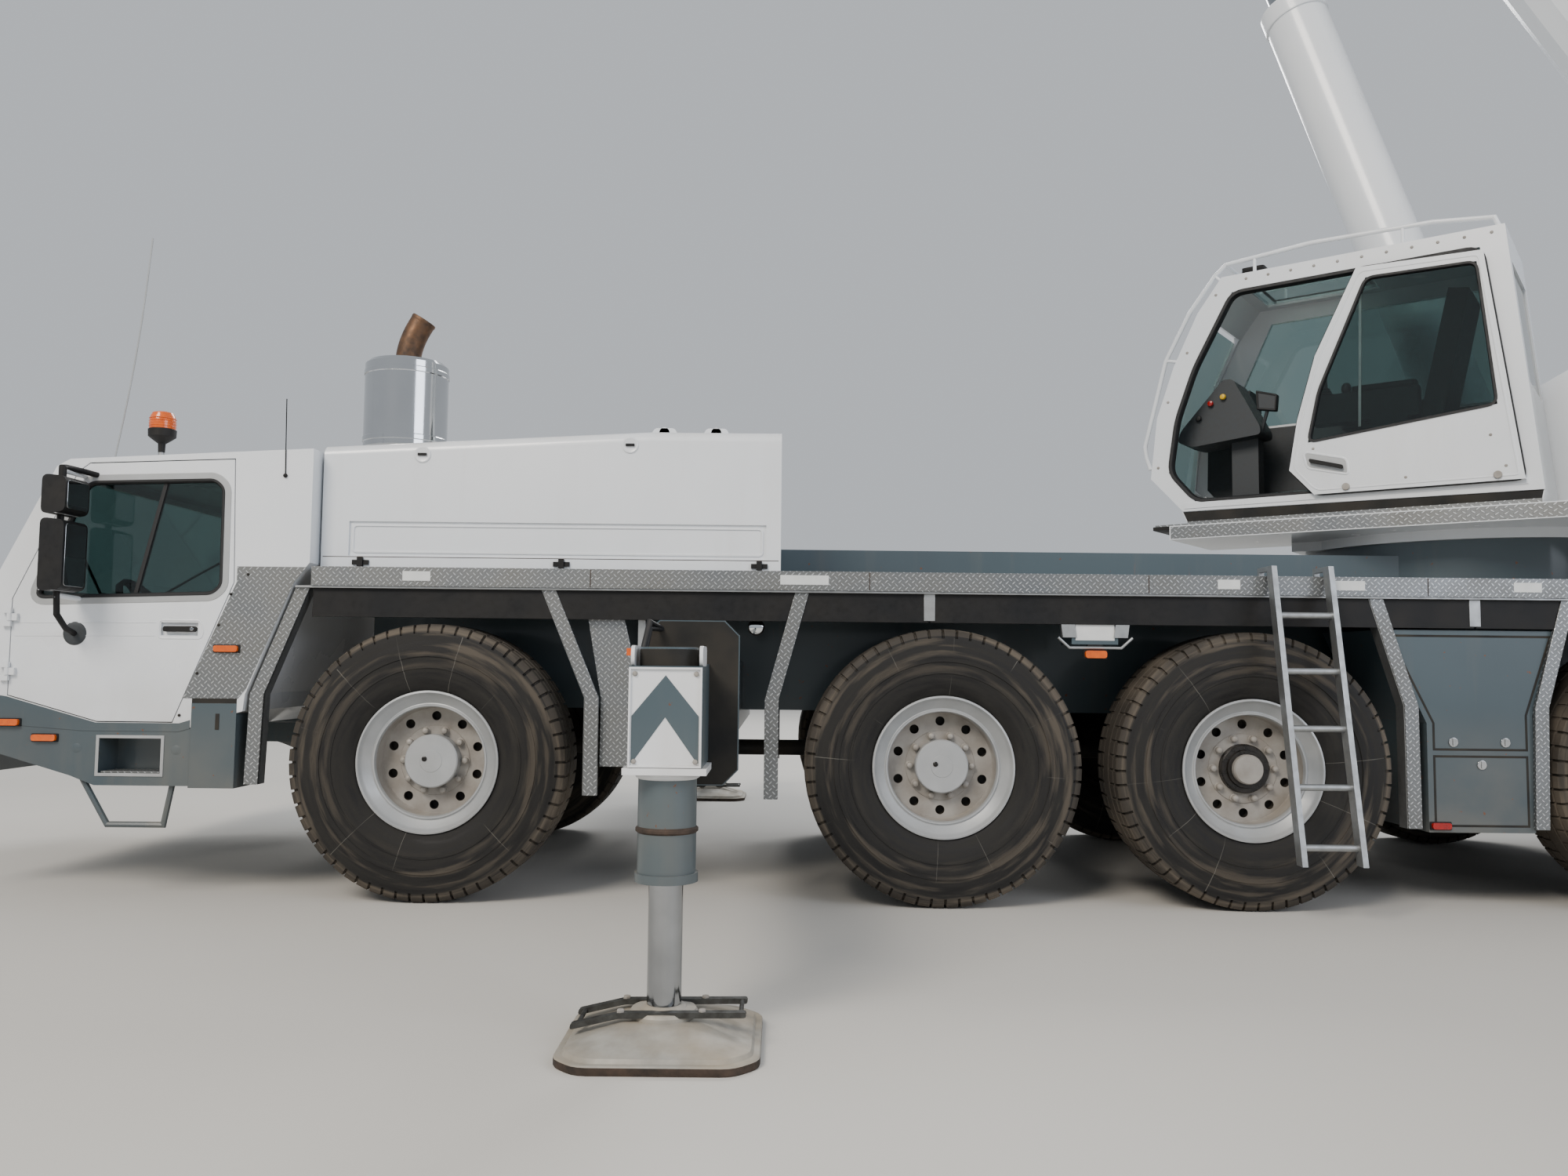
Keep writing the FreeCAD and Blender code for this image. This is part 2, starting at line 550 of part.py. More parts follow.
def engine_cover():
    """White engine cover: a hollow shell stepped up to the rear, its upper edges rounded."""
    outline = [(COVER_FRONT, COVER_LOW), (COVER_FRONT, COVER_TOP_FRONT), (COVER_CREST_X, COVER_TOP_REAR),
               (COVER_REAR, COVER_TOP_REAR), (COVER_REAR, COVER_LOW)]
    solid = side_prism(outline, -COVER_HALF, COVER_HALF)
    edges = [e for e in solid.Edges if abs(e.Vertexes[0].Y - e.Vertexes[-1].Y) < 1
             and min(v.Z for v in e.Vertexes) > COVER_LOW + 100]
    solid = solid.makeFillet(COVER_ROUND, edges)
    inner = side_prism(scaled_outline([(COVER_FRONT, COVER_LOW), (COVER_FRONT, COVER_TOP_FRONT),
                                       (COVER_REAR, COVER_TOP_FRONT), (COVER_REAR, COVER_LOW)], 90),
                       -COVER_HALF + COVER_WALL, COVER_HALF - COVER_WALL)
    inner = inner.fuse(box(COVER_FRONT + 90, COVER_REAR - 90, -COVER_HALF + COVER_WALL, COVER_HALF - COVER_WALL,
                           COVER_LOW - 1, COVER_LOW + 200))
    shell = solid.cut(inner)
    for side in (-1, 1):
        y0, y1 = sorted((side * (COVER_HALF - 12), side * (COVER_HALF + 1)))
        shell = shell.cut(box(-4290, -2000, y0, y1, 1850, 2040))
    return join([shell, box(COVER_FRONT, COVER_REAR, -COVER_HALF, COVER_HALF, DECK_TOP, COVER_LOW)])


def exhaust_stack():
    """Silencer drum and its slant-cut tail pipe, on a foot beside the engine cover's top."""
    drum = Part.makeCylinder(STACK_R, STACK_TOP - 2520, Vector(STACK_X, STACK_Y, 2520))
    slope = (COVER_TOP_REAR - COVER_TOP_FRONT) / (COVER_CREST_X - COVER_FRONT)
    foot_z = COVER_TOP_FRONT + slope * (STACK_X + 90 - COVER_FRONT) + SEAT_GAP
    foot = Part.makeCylinder(90, 2530 - foot_z, Vector(STACK_X, STACK_Y, foot_z))
    pipe = Part.makeCylinder(STACK_PIPE_R, STACK_PIPE_TOP - STACK_TOP, Vector(STACK_X, STACK_Y, STACK_TOP))
    wedge = side_prism([(STACK_X - 200, STACK_PIPE_TOP + 1), (STACK_X + 200, STACK_PIPE_TOP + 1),
                        (STACK_X + 200, STACK_PIPE_TOP - 260)], STACK_Y - 200, STACK_Y + 200)
    return join([drum, foot, pipe.cut(wedge)])


def roof_z(x, radius):
    """Height at which a foot of this radius rests on the sloping cab roof."""
    (x0, z0), (x1, z1) = CAB_OUTLINE[5], CAB_OUTLINE[6]
    slope = (z1 - z0) / (x1 - x0)
    return z0 + slope * (x + radius - x0) + SEAT_GAP


def roof_fittings():
    """Roof beacon and whip aerial of the driver's cab."""
    beacon = join([rod((-5435, -1150, roof_z(-5435, 30)), (-5435, -1150, 2440), 30),
                   rod((-5435, -1150, 2440), (-5435, -1150, 2670), 75)])
    base = rod((-5700, -1150, roof_z(-5700, 20)), (-5700, -1150, 2400), 20)
    whip = rod((-5700, -1150, 2385), (-5540, -1150, 3680), 6)
    return Part.makeCompound([beacon, join([base, whip])])


LADDER_X, LADDER_W = 690.0, 330.0
LADDER_TOP = (-1452.0, 1830.0)
LADDER_FOOT = (-1800.0, 300.0)
LADDER_RUNGS = 5


def ladder():
    """Hook-on ladder: two flat rails leaning out from the deck edge, with round rungs."""
    (y0, z0), (y1, z1) = LADDER_TOP, LADDER_FOOT
    rail_t, rail_w = 28.0, 70.0
    pieces = []
    for x in (LADDER_X, LADDER_X + LADDER_W - rail_t):
        outline = [(y0 - rail_w, z0), (y0 - 0.3, z0), (y1 + rail_w / 2, z1), (y1 - rail_w / 2, z1)]
        pieces.append(front_prism(outline, x, x + rail_t))
        pieces.append(front_prism([(y0 - rail_w, z0 - 25), (y0 - rail_w, z0), (y0 + 120, z0), (y0 + 120, DECK_TOP),
                                   (y0 + 95, DECK_TOP), (y0 + 95, z0 - 25)], x, x + rail_t))
    for k in range(LADDER_RUNGS):
        t = (k + 0.9) / (LADDER_RUNGS + 0.2)
        y, z = y0 - rail_w / 2 + (y1 - y0 + rail_w / 2) * t, z0 + (z1 - z0) * t
        pieces.append(rod((LADDER_X + 5, y, z), (LADDER_X + LADDER_W - 5, y, z), 17))
    return join(pieces)


# Outriggers

def outrigger_beam(x, side):
    """Box beam with its end plate, the sheath round the jack and the jack tube with its cap and lip."""
    y0 = JACK_Y - BOX_END_HALF - BEAM_L
    low, high = BEAM_Z - BEAM_H / 2, BEAM_Z + BEAM_H / 2
    beam = box(x - BEAM_W / 2, x + BEAM_W / 2, y0, JACK_Y - BOX_END_HALF, low, high)
    hollow = box(x - BEAM_W / 2 + 14, x + BEAM_W / 2 - 14, y0 - 1, JACK_Y - BOX_END_HALF - 20, low + 14, high - 14)
    plate = side_prism([(x - 120, 890), (x - 65, 834), (x + 175, 834), (x + 230, 890), (x + 230, 1379),
                        (x + 175, 1434), (x - 65, 1434), (x - 120, 1379)], JACK_Y - 290, JACK_Y - 265)
    sheath = box(x - BOX_END_HALF, x + BOX_END_HALF, JACK_Y - BOX_END_HALF, JACK_Y + BOX_END_HALF, 928, 1266)
    tube = Part.makeCylinder(JACK_R, JACK_TOP - JACK_LOW, Vector(x, JACK_Y, JACK_LOW))
    lip = Part.makeCylinder(JACK_R + 8, 30, Vector(x, JACK_Y, JACK_LOW))
    bore = Part.makeCylinder(ROD_R + SEAT_GAP, JACK_TOP - JACK_LOW - 30, Vector(x, JACK_Y, JACK_LOW - 1))
    shape = join([beam.cut(hollow), plate, sheath, tube, lip]).cut(bore)
    return shape if side > 0 else mirrored(shape)


def outrigger_jack(x, side):
    """Jack rod with its float: a pressed pyramid, a round disc and the two bars of the lock yoke."""
    y = JACK_Y
    rod_low, rod_top = FLOAT_H + 24, JACK_TOP - 30 - SLIDE_GAP - JACK_STROKE
    pad = pressed_pad(x, y, [(0, FLOAT_HALF), (30, FLOAT_HALF), (45, FLOAT_HALF - 25), (FLOAT_H, 125)])
    disc = Part.makeCylinder(115, 25, Vector(x, y, FLOAT_H))
    rod_piece = Part.makeCylinder(ROD_R, rod_top - rod_low, Vector(x, y, rod_low))
    bars = []
    for face in (-1, 1):
        y0, y1 = sorted((y + face * 64, y + face * 100))
        bars.append(side_prism([(x - 300, FLOAT_H - 25), (x - 140, FLOAT_H + 12), (x + 280, FLOAT_H + 18),
                                (x + 280, FLOAT_H + 36), (x - 140, FLOAT_H + 30), (x - 300, FLOAT_H - 7)], y0, y1))
    shape = join([pad, disc, rod_piece] + bars)
    return shape if side > 0 else mirrored(shape)


def pressed_pad(x, y, levels):
    """A pad with clipped corners: a solid between flat outlines given as (height, half side)."""
    rings = []
    for z, half in levels:
        clip = FLOAT_CLIP * half
        corners = [(-half + clip, -half), (half - clip, -half), (half, -half + clip), (half, half - clip)]
        corners += [(-a, -b) for a, b in corners]
        rings.append([Vector(x + a, y + b, z) for a, b in corners])
    faces = [Part.Face(Part.makePolygon(ring + ring[:1])) for ring in (rings[0], rings[-1])]
    for low, high in zip(rings, rings[1:]):
        for k in range(len(low)):
            n = (k + 1) % len(low)
            faces.append(Part.Face(Part.makePolygon([low[k], low[n], high[n], high[k], low[k]])))
    return closed(faces)


# Superstructure

CHEEK_OUTLINE = [(520.0, TABLE_TOP - 60), (520.0, 2480.0), (-1500.0, 3560.0), (-1800.0, 3660.0), (-2150.0, 3660.0),
                 (-2330.0, 3500.0), (-2420.0, 2960.0), (-3000.0, 2960.0), (-3000.0, TABLE_TOP - 60)]


def superstructure_frame():
    """Turntable, the two cheeks with the boom foot and lift pins, drum bearings and the side housings."""
    table = box(SLEW_X - 900, SLEW_X - HOUSE_REAR, -700, 700, RING_TOP + SEAT_GAP, TABLE_TOP)
    ring = Part.makeCylinder(RING_R + 40, 70, Vector(SLEW_X, 0, RING_TOP + SEAT_GAP))
    pieces = [table, ring]
    for side in (-1, 1):
        y0, y1 = sorted((side * CHEEK_IN, side * (CHEEK_IN + CHEEK_T)))
        pieces.append(side_prism(ahead(CHEEK_OUTLINE), y0, y1))
    for p, z, r in ((FOOT_AHEAD, FOOT_Z, FOOT_PIN_R), (LIFT_AHEAD, LIFT_Z, LIFT_PIN_R)):
        pieces.append(rod((SLEW_X - p, -CHEEK_IN - CHEEK_T, z), (SLEW_X - p, CHEEK_IN + CHEEK_T, z), r))
    left = [(-800.0, 2120.0), (-960.0, 2400.0), (-860.0, HOUSE_TOP), (HOUSE_REAR, HOUSE_TOP), (HOUSE_REAR, 2120.0)]
    pieces.append(side_prism(ahead(left), -HOUSE_OUT, -CHEEK_IN - CHEEK_T + 1))
    right = [(300.0, 2120.0), (300.0, 2500.0), (0.0, HOUSE_TOP - 150), (HOUSE_REAR, HOUSE_TOP - 150), (HOUSE_REAR, 2120.0)]
    pieces.append(side_prism(ahead(right), CHEEK_IN + CHEEK_T - 1, HOUSE_OUT))
    shelf = [(-960.0, 2120.0), (1500.0, 2120.0), (1500.0, CC_SILL), (-960.0, CC_SILL)]
    pieces.append(side_prism(ahead(shelf), -CC_OUT, -CHEEK_IN - CHEEK_T + 1))
    pieces.append(box(SLEW_X - HOUSE_REAR - 80, SLEW_X - HOUSE_REAR, -CHEEK_IN, CHEEK_IN, TABLE_TOP - 20, 2960))
    body = join(pieces)
    pocket = rod((SLEW_X - LIFT_AHEAD, -CHEEK_IN + 2, LIFT_Z), (SLEW_X - LIFT_AHEAD, CHEEK_IN - 2, LIFT_Z), 290)
    pin = rod((SLEW_X - LIFT_AHEAD, -CHEEK_IN, LIFT_Z), (SLEW_X - LIFT_AHEAD, CHEEK_IN, LIFT_Z), LIFT_PIN_R)
    trough = box(SLEW_X - 1700, SLEW_X - LIFT_AHEAD, -250, 250, RING_TOP + 18, TABLE_TOP + 1)
    body = body.cut(pocket.cut(box(SLEW_X - 2000, SLEW_X + 2000, -600, 600, 1900, RING_TOP + 18)).cut(pin))
    body = body.cut(trough.cut(pin))
    stubs = rod((SLEW_X - DRUM_AHEAD, -CHEEK_IN - 1, DRUM_Z), (SLEW_X - DRUM_AHEAD, -DRUM_HALF - SEAT_GAP, DRUM_Z), 90)
    return slewed(join([body] + both_sides(stubs)))


def winch_drum():
    """Hoist drum with its end flanges, between the cheeks."""
    x = SLEW_X - DRUM_AHEAD
    core = rod((x, -DRUM_HALF, DRUM_Z), (x, DRUM_HALF, DRUM_Z), DRUM_R - 60)
    flanges = [rod((x, s * DRUM_HALF, DRUM_Z), (x, s * (DRUM_HALF - 25), DRUM_Z), DRUM_R) for s in (-1, 1)]
    return slewed(join([core] + flanges))


def counterweight():
    """Stacked counterweight slabs behind the winch."""
    slabs = []
    levels = 4
    step = (TAIL_TOP - TAIL_LOW) / levels
    for k in range(levels):
        z0 = TAIL_LOW + k * step
        half = HOUSE_OUT - (60 if k == levels - 1 else 0)
        c = 220.0
        outline = [(SLEW_X - HOUSE_REAR + SEAT_GAP, -half), (SLEW_X - TAIL_REAR - c, -half), (SLEW_X - TAIL_REAR, -half + c),
                   (SLEW_X - TAIL_REAR, half - c), (SLEW_X - TAIL_REAR - c, half), (SLEW_X - HOUSE_REAR + SEAT_GAP, half)]
        wire = Part.makePolygon([Vector(x, y, z0) for x, y in outline + outline[:1]])
        slabs.append(Part.Face(wire).extrude(Vector(0, 0, step)))
    return slewed(join(slabs))


CC_OUTLINE = [(-575.0, 2280.0), (-425.0, 3800.0), (1143.0, 3800.0), (1300.0, 3590.0), (1460.0, 3260.0),
              (1575.0, 2930.0), (1620.0, 2530.0), (1410.0, 2300.0)]
CC_DOOR = [(0.340, 3.69), (-0.320, 3.66), (-0.490, 2.34), (0.600, 2.34), (0.740, 2.50), (0.690, 2.80), (0.580, 3.19)]
CC_DOOR_GLASS = [(0.290, 3.62), (-0.287, 3.60), (-0.368, 2.77), (0.630, 2.66), (0.565, 2.97)]
CC_SIDE_OPENING = [(1080.0, 3690.0), (-300.0, 3690.0), (-440.0, 2360.0), (1330.0, 2360.0), (1500.0, 2560.0),
                   (1450.0, 2900.0), (1330.0, 3230.0)]


def metres(points):
    """Outline given in metres, in millimetres."""
    return [(1000 * p, 1000 * z) for p, z in points]


def crane_cab():
    """Hollow crane cab: side panels, frame and roof, with door opening and all windows cut, on its sill."""
    shell = side_prism(ahead(CC_OUTLINE), -CC_OUT, -CC_IN)
    shell = shell.cut(side_prism(ahead(scaled_outline(CC_OUTLINE, CC_WALL)), -CC_OUT + CC_WALL, -CC_IN - CC_WALL))
    shell = shell.cut(side_prism(ahead(CC_SIDE_OPENING), -CC_OUT - 1, -CC_OUT + CC_WALL + 1))
    right = [(1050.0, 3660.0), (-270.0, 3660.0), (-350.0, 2950.0), (1380.0, 2950.0)]
    shell = shell.cut(side_prism(ahead(right), -CC_IN - CC_WALL - 1, -CC_IN + 1))
    front = [(1230.0, 3560.0), (1380.0, 3640.0), (1700.0, 2960.0), (1700.0, 2480.0), (1540.0, 2470.0), (1500.0, 2930.0)]
    shell = shell.cut(side_prism(ahead(front), -CC_OUT + 70, -CC_IN - 70))
    shell = shell.cut(box(SLEW_X - 1050, SLEW_X - 350, -CC_OUT + 110, -CC_IN - 110, 3700, 3900))
    rear = [(-300.0, 3600.0), (-560.0, 3600.0), (-620.0, 2900.0), (-380.0, 2900.0)]
    shell = shell.cut(side_prism(ahead(rear), -CC_OUT + 90, -CC_IN - 90))
    sill = side_prism(ahead([(-560.0, CC_SILL), (1380.0, CC_SILL), (1420.0, 2301.0), (-575.0, 2281.0)]), -CC_OUT + 10, -CC_IN)
    rail = box(SLEW_X - 1400, SLEW_X + 500, -CC_OUT - SLIDE_GAP + SEAT_GAP, -CC_OUT, 2316, 2352)
    return slewed(join([shell, sill, rail]))


def crane_cab_glass():
    """Front, roof, rear and right panes of the crane cab."""
    front = [(1300.0, 3560.0), (1440.0, 3270.0), (1550.0, 2935.0), (1592.0, 2500.0),
             (1586.0, 2500.0), (1544.0, 2933.0), (1434.0, 3267.0), (1294.0, 3557.0)]
    panes = [side_prism(ahead(front), -CC_OUT + 70.3, -CC_IN - 70.3)]
    panes.append(box(SLEW_X - 1049.7, SLEW_X - 350.3, -CC_OUT + 110.3, -CC_IN - 110.3, 3775, 3781))
    lean = 150.0 / 1520.0
    rear = [(-565 + lean * (z - 2280) + dx, z) for z, dx in ((2900.3, 0), (3599.7, 0), (3599.7, 6), (2900.3, 6))]
    panes.append(side_prism(ahead(rear), -CC_OUT + 90.3, -CC_IN - 90.3))
    right = scaled_outline([(1050.0, 3660.0), (-270.0, 3660.0), (-350.0, 2950.0), (1380.0, 2950.0)], SEAT_GAP)
    panes.append(side_prism(ahead(right), -CC_IN - 25, -CC_IN - 19))
    return slewed(Part.makeCompound(panes))


def crane_cab_door():
    """Sliding door, slid back to its open place, with its window cut."""
    door = side_prism(ahead(metres(CC_DOOR)), -CC_OUT - SLIDE_GAP - CC_DOOR_T, -CC_OUT - SLIDE_GAP)
    door = door.cut(side_prism(ahead(metres(CC_DOOR_GLASS)), -CC_OUT - 100, -CC_OUT))
    return slewed(door)


def crane_cab_door_glass():
    """The pane of the sliding door."""
    y = -CC_OUT - SLIDE_GAP - CC_DOOR_T / 2
    return slewed(side_prism(ahead(scaled_outline(metres(CC_DOOR_GLASS), SEAT_GAP)), y - GLASS_T / 2, y + GLASS_T / 2))


def cab_floor(p):
    """Height just above the crane cab's floor at this distance ahead."""
    (p0, z0), (p1, z1) = CC_OUTLINE[0], CC_OUTLINE[-1]
    return z0 + (z1 - z0) * (p - p0) / (p1 - p0) + CC_WALL + SEAT_GAP


def crane_cab_interior():
    """Operator's seat, arm consoles with levers, and the front display post."""
    y = (-CC_OUT - CC_IN) / 2
    seat = join([
        side_prism(ahead([(480.0, 2760.0), (-60.0, 2740.0), (-60.0, 2860.0), (480.0, 2880.0)]), y - 240, y + 240),
        side_prism(ahead([(-60.0, 2760.0), (-220.0, 3520.0), (-110.0, 3540.0), (40.0, 2860.0)]), y - 220, y + 220),
        box(SLEW_X - 380, SLEW_X - 20, y - 150, y + 150, cab_floor(380), 2760),
        box(SLEW_X - 620, SLEW_X - 40, y - 350, y - 250, 2780, 2960),
        box(SLEW_X - 620, SLEW_X - 40, y + 250, y + 350, 2780, 2960),
        box(SLEW_X - 300, SLEW_X - 100, y - 350, y + 350, 2700, 2790),
        rod((SLEW_X - 560, y - 310, 2955), (SLEW_X - 570, y - 310, 3120), 22),
        rod((SLEW_X - 560, y + 310, 2955), (SLEW_X - 570, y + 310, 3120), 22),
    ])
    display = join([rod((SLEW_X - 1150, y + 260, cab_floor(1175)), (SLEW_X - 1150, y + 260, 3000), 25),
                    box(SLEW_X - 1200, SLEW_X - 1130, y + 120, y + 380, 2960, 3160)])
    return slewed(Part.makeCompound([seat, display]))


# Boom, drawn along +X from the foot pin with its top side up

def boom_outline(inset):
    """Outline of a section in Y and Z: flat top with bevelled corners, and an underside bent round in folds.

    Every inset gives a line at the same distance inside the one before, so that sections nest evenly.
    """
    w, h = BOOM_WIDE / 2 - inset, BOOM_DEEP / 2 - inset
    c = BOOM_BEVEL - inset * (2 - math.sqrt(2))
    middle = BOOM_WIDE / 2 - BOOM_DEEP / 2
    fold = math.pi / BOOM_FOLDS
    points = [(-w, h - c), (-w + c, h), (w - c, h), (w, h - c)]
    for k in range(BOOM_FOLDS):
        angle = -(k + 0.5) * fold
        radius = w / math.cos(fold / 2)
        points.append((radius * math.cos(angle), middle + radius * math.sin(angle)))
    return points


def boom_section_solid(inset, x0, x1):
    """The filled form of a section."""
    return front_prism(boom_outline(inset), x0, x1)


def boom_band(outer, inner, x0, x1):
    """A band round a section, between two insets."""
    return boom_section_solid(outer, x0, x1).cut(boom_section_solid(inner, x0 - 1, x1 + 1))


def boom_base():
    """Base section with the foot boss, the ears of the luffing cylinder and the nose collar."""
    tube = boom_band(0, BOOM_WALL, 400, BOOM_L)
    boss_half = CHEEK_IN - SLIDE_GAP
    foot = join([rod((0, -boss_half, 0), (0, boss_half, 0), 190),
                 side_prism([(-60, -180), (60, 185), (430, 330), (430, -300)], -BOOM_WIDE / 2 + 20, -BOOM_WIDE / 2 + 80),
                 side_prism([(-60, -180), (60, 185), (430, 330), (430, -300)], BOOM_WIDE / 2 - 80, BOOM_WIDE / 2 - 20)])
    foot = foot.cut(rod((0, -boss_half - 1, 0), (0, boss_half + 1, 0), FOOT_PIN_R + SEAT_GAP))
    ears = []
    for side in (-1, 1):
        y0, y1 = sorted((side * EAR_IN, side * (EAR_IN + EAR_T)))
        plate = side_prism([(EYE_ALONG - 520, -370), (EYE_ALONG + 420, -370), (EYE_ALONG + 200, -EYE_BELOW),
                            (EYE_ALONG + 120, -EYE_BELOW - EAR_R + 20), (EYE_ALONG - 120, -EYE_BELOW - EAR_R + 20),
                            (EYE_ALONG - 200, -EYE_BELOW)], y0, y1)
        ears.append(plate)
    collar = boom_band(-30, 0, BOOM_L - 260, BOOM_L - 20)
    hollow = boom_section_solid(BOOM_WALL, 380, BOOM_L + 1)
    body = join([tube, foot] + ears + [collar])
    return slewed(on_boom(body.cut(hollow)))


def boom_inner(k):
    """Inner section k, nested in the one before, with its nose collar; the last one carries the head."""
    start, end = 500.0 + 120 * k, BOOM_L + TIP_STEP * k
    tube = boom_band(NEST * k, NEST * k + BOOM_WALL, start, end)
    collar = boom_band(NEST * k - 26, NEST * k + 5, end - 150, end - 10)
    wear_band = boom_band(NEST * (k - 1) + BOOM_WALL + WEAR_GAP, NEST * k + 5, start, start + 220)
    pieces = [tube, collar, wear_band]
    if k == INNER_SECTIONS:
        half = BOOM_WIDE / 2 - NEST * k
        for side in (-1, 1):
            y0, y1 = sorted((side * (half - 60), side * (half - 25)))
            pieces.append(side_prism([(end - 200, 250), (end + HEAD_L - 200, 250), (end + HEAD_L, 60),
                                      (end + HEAD_L, -HEAD_BELOW - 100), (end + 300, -HEAD_BELOW - 180),
                                      (end - 200, -250)], y0, y1))
        for x, z in ((end + HEAD_PIN, -HEAD_BELOW), (end + 300, 140)):
            pieces.append(rod((x, -half + 30, z), (x, half - 30, z), HEAD_PIN_R))
            pieces += [sheave((x, y, z)) for y in SHEAVE_ROWS]
    return slewed(on_boom(join(pieces)))


def boom_point(along, below):
    """A point of the raised boom as (ahead, height)."""
    t = math.radians(BOOM_DEG)
    return (FOOT_AHEAD + along * math.cos(t) + below * math.sin(t), FOOT_Z + along * math.sin(t) - below * math.cos(t))


def hook_block():
    """Rope falls and their anchor eye on the head pin, sheave block, swivel and hook, plumb below the head."""
    end = BOOM_L + TIP_STEP * INNER_SECTIONS
    p, z = boom_point(end + HEAD_PIN, HEAD_BELOW)
    x = SLEW_X - p
    low = z - HOOK_DROP
    in_groove = ROPE_R * math.hypot(SHEAVE_T / 2, ROPE_R) / (SHEAVE_T / 2)
    reach = SHEAVE_R - ROPE_R + in_groove + SEAT_GAP
    falls = [rod((x + dx, y, low - 90), (x + dx, y, z), ROPE_R) for dx in (-reach, reach) for y in SHEAVE_ROWS]
    block = join([sheave((x, y, low), SHEAVE_R - 6) for y in SHEAVE_ROWS]
                 + [box(x - 215, x + 215, -150, 150, low - 330, low - 60)])
    shank = box(x - 50, x + 50, -50, 50, low - 445, low - 320)
    inside = [(x + 82 * math.sin(a), low - 560 - 82 * math.cos(a)) for a in (math.radians(22.5 * k) for k in range(-6, 8))]
    outside = [(x + 158 * math.sin(a), low - 560 - 158 * math.cos(a)) for a in (math.radians(22.5 * k) for k in range(-6, 9))]
    hook = side_prism(inside + outside[::-1], -38, 38)
    anchor = join([rod((x, 116, z), (x, 146, z), 75), box(x - 10, x + 10, 121, 141, low - 90, z - 60)])
    anchor = anchor.cut(rod((x, 115, z), (x, 147, z), HEAD_PIN_R + SEAT_GAP))
    return slewed(join([block, shank, hook, anchor] + falls))


def lift_direction():
    """Rest length and elevation of the luffing cylinder."""
    p, z = boom_point(EYE_ALONG, EYE_BELOW)
    dp, dz = p - LIFT_AHEAD, z - LIFT_Z
    return math.hypot(dp, dz), math.degrees(math.atan2(dz, dp))


def on_lift(shape):
    """Place a piece drawn along +X from the lift pin onto the cylinder's line."""
    placed = shape.copy()
    placed.rotate(Vector(0, 0, 0), Vector(0, 0, 1), 180)
    placed.rotate(Vector(0, 0, 0), Vector(0, 1, 0), lift_direction()[1])
    placed.translate(Vector(SLEW_X - LIFT_AHEAD, 0, LIFT_Z))
    return slewed(placed)


def lift_barrel():
    """Barrel of the luffing cylinder with its foot eye and gland."""
    tube = rod((330, 0, 0), (BARREL_L, 0, 0), BARREL_R)
    foot = join([rod((0, -230, 0), (0, 230, 0), 160), box(0, 331, -150, 150, -130, 130)])
    foot = foot.cut(rod((0, -231, 0), (0, 231, 0), LIFT_PIN_R + SEAT_GAP))
    gland = rod((BARREL_L - 120, 0, 0), (BARREL_L, 0, 0), BARREL_R + 12)
    bore = rod((450, 0, 0), (BARREL_L + 1, 0, 0), LIFT_ROD_R + SEAT_GAP)
    return on_lift(join([tube, foot, gland]).cut(bore))


def lift_rod():
    """Chromed rod with the eye that belongs between the boom's ears."""
    length = lift_direction()[0]
    shaft = rod((length - LIFT_ROD_L, 0, 0), (length - 60, 0, 0), LIFT_ROD_R)
    eye = rod((length, -110, 0), (length, 110, 0), EYE_R)
    eye = join([shaft, eye]).cut(rod((length, -111, 0), (length, 111, 0), LIFT_PIN_R))
    return on_lift(eye)


def build():
    """All nodes by name."""
    nodes = {
        "chassis_frame": chassis_frame(),
        "axle_beams": axle_beams(),
        "outrigger_boxes": outrigger_boxes(),
        "deck_plates": deck_plates(),
        "mudguards": mudguards(),
        "side_boxes": side_boxes(),
        "carrier_cab": carrier_cab(),
        "carrier_cab_glass": carrier_cab_glass(),
        "carrier_cab_interior": carrier_cab_interior(),
        "front_bumper": front_bumper(),
        "engine_cover": engine_cover(),
        "engine_block": box(-3950, -2650, -420, 420, COVER_LOW, 2330),
        "exhaust_stack": exhaust_stack(),
        "roof_fittings": roof_fittings(),
        "ladder": ladder(),
        "superstructure_frame": superstructure_frame(),
        "winch_drum": winch_drum(),
        "counterweight": counterweight(),
        "crane_cab": crane_cab(),
        "crane_cab_glass": crane_cab_glass(),
        "crane_cab_interior": crane_cab_interior(),
        "crane_cab_door": crane_cab_door(),
        "crane_cab_door_glass": crane_cab_door_glass(),
        "boom_base": boom_base(),
        "lift_barrel": lift_barrel(),
        "lift_rod": lift_rod(),
        "hook_block": hook_block(),
    }
    for side, word in ((-1, "left"), (1, "right")):
        nodes["door_" + word] = carrier_door(side)
        nodes["door_" + word + "_glass"] = carrier_door_glass(side)
        for name, x, steered in AXLES:
            nodes["wheel_" + name + "_" + word] = wheel(x, side)
            if steered:
                nodes["knuckle_" + name + "_" + word] = knuckle(x, side)
    for name, x, side in OUTRIGGERS:
        nodes["beam_" + name] = outrigger_beam(x, side)
        nodes["jack_" + name] = outrigger_jack(x, side)
    for k in range(1, INNER_SECTIONS + 1):
        nodes["boom_inner_" + str(k)] = boom_inner(k)
    return nodes


os.makedirs(PARTS, exist_ok=True)
for node, shape in build().items():
    shape.exportStep(os.path.join(PARTS, node + ".step"))
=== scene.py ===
"""The looks of a mobile crane that stands on its wheels with its outriggers out and its boom raised.

Metres. The crane faces -X, its left side is -Y and +Z is up. The superstructure is turned about the slew
centre, so its pieces are worked out facing forward and are turned by one function.
"""

import json
import math

import bpy
import numpy as np
from mathutils import Matrix, Vector


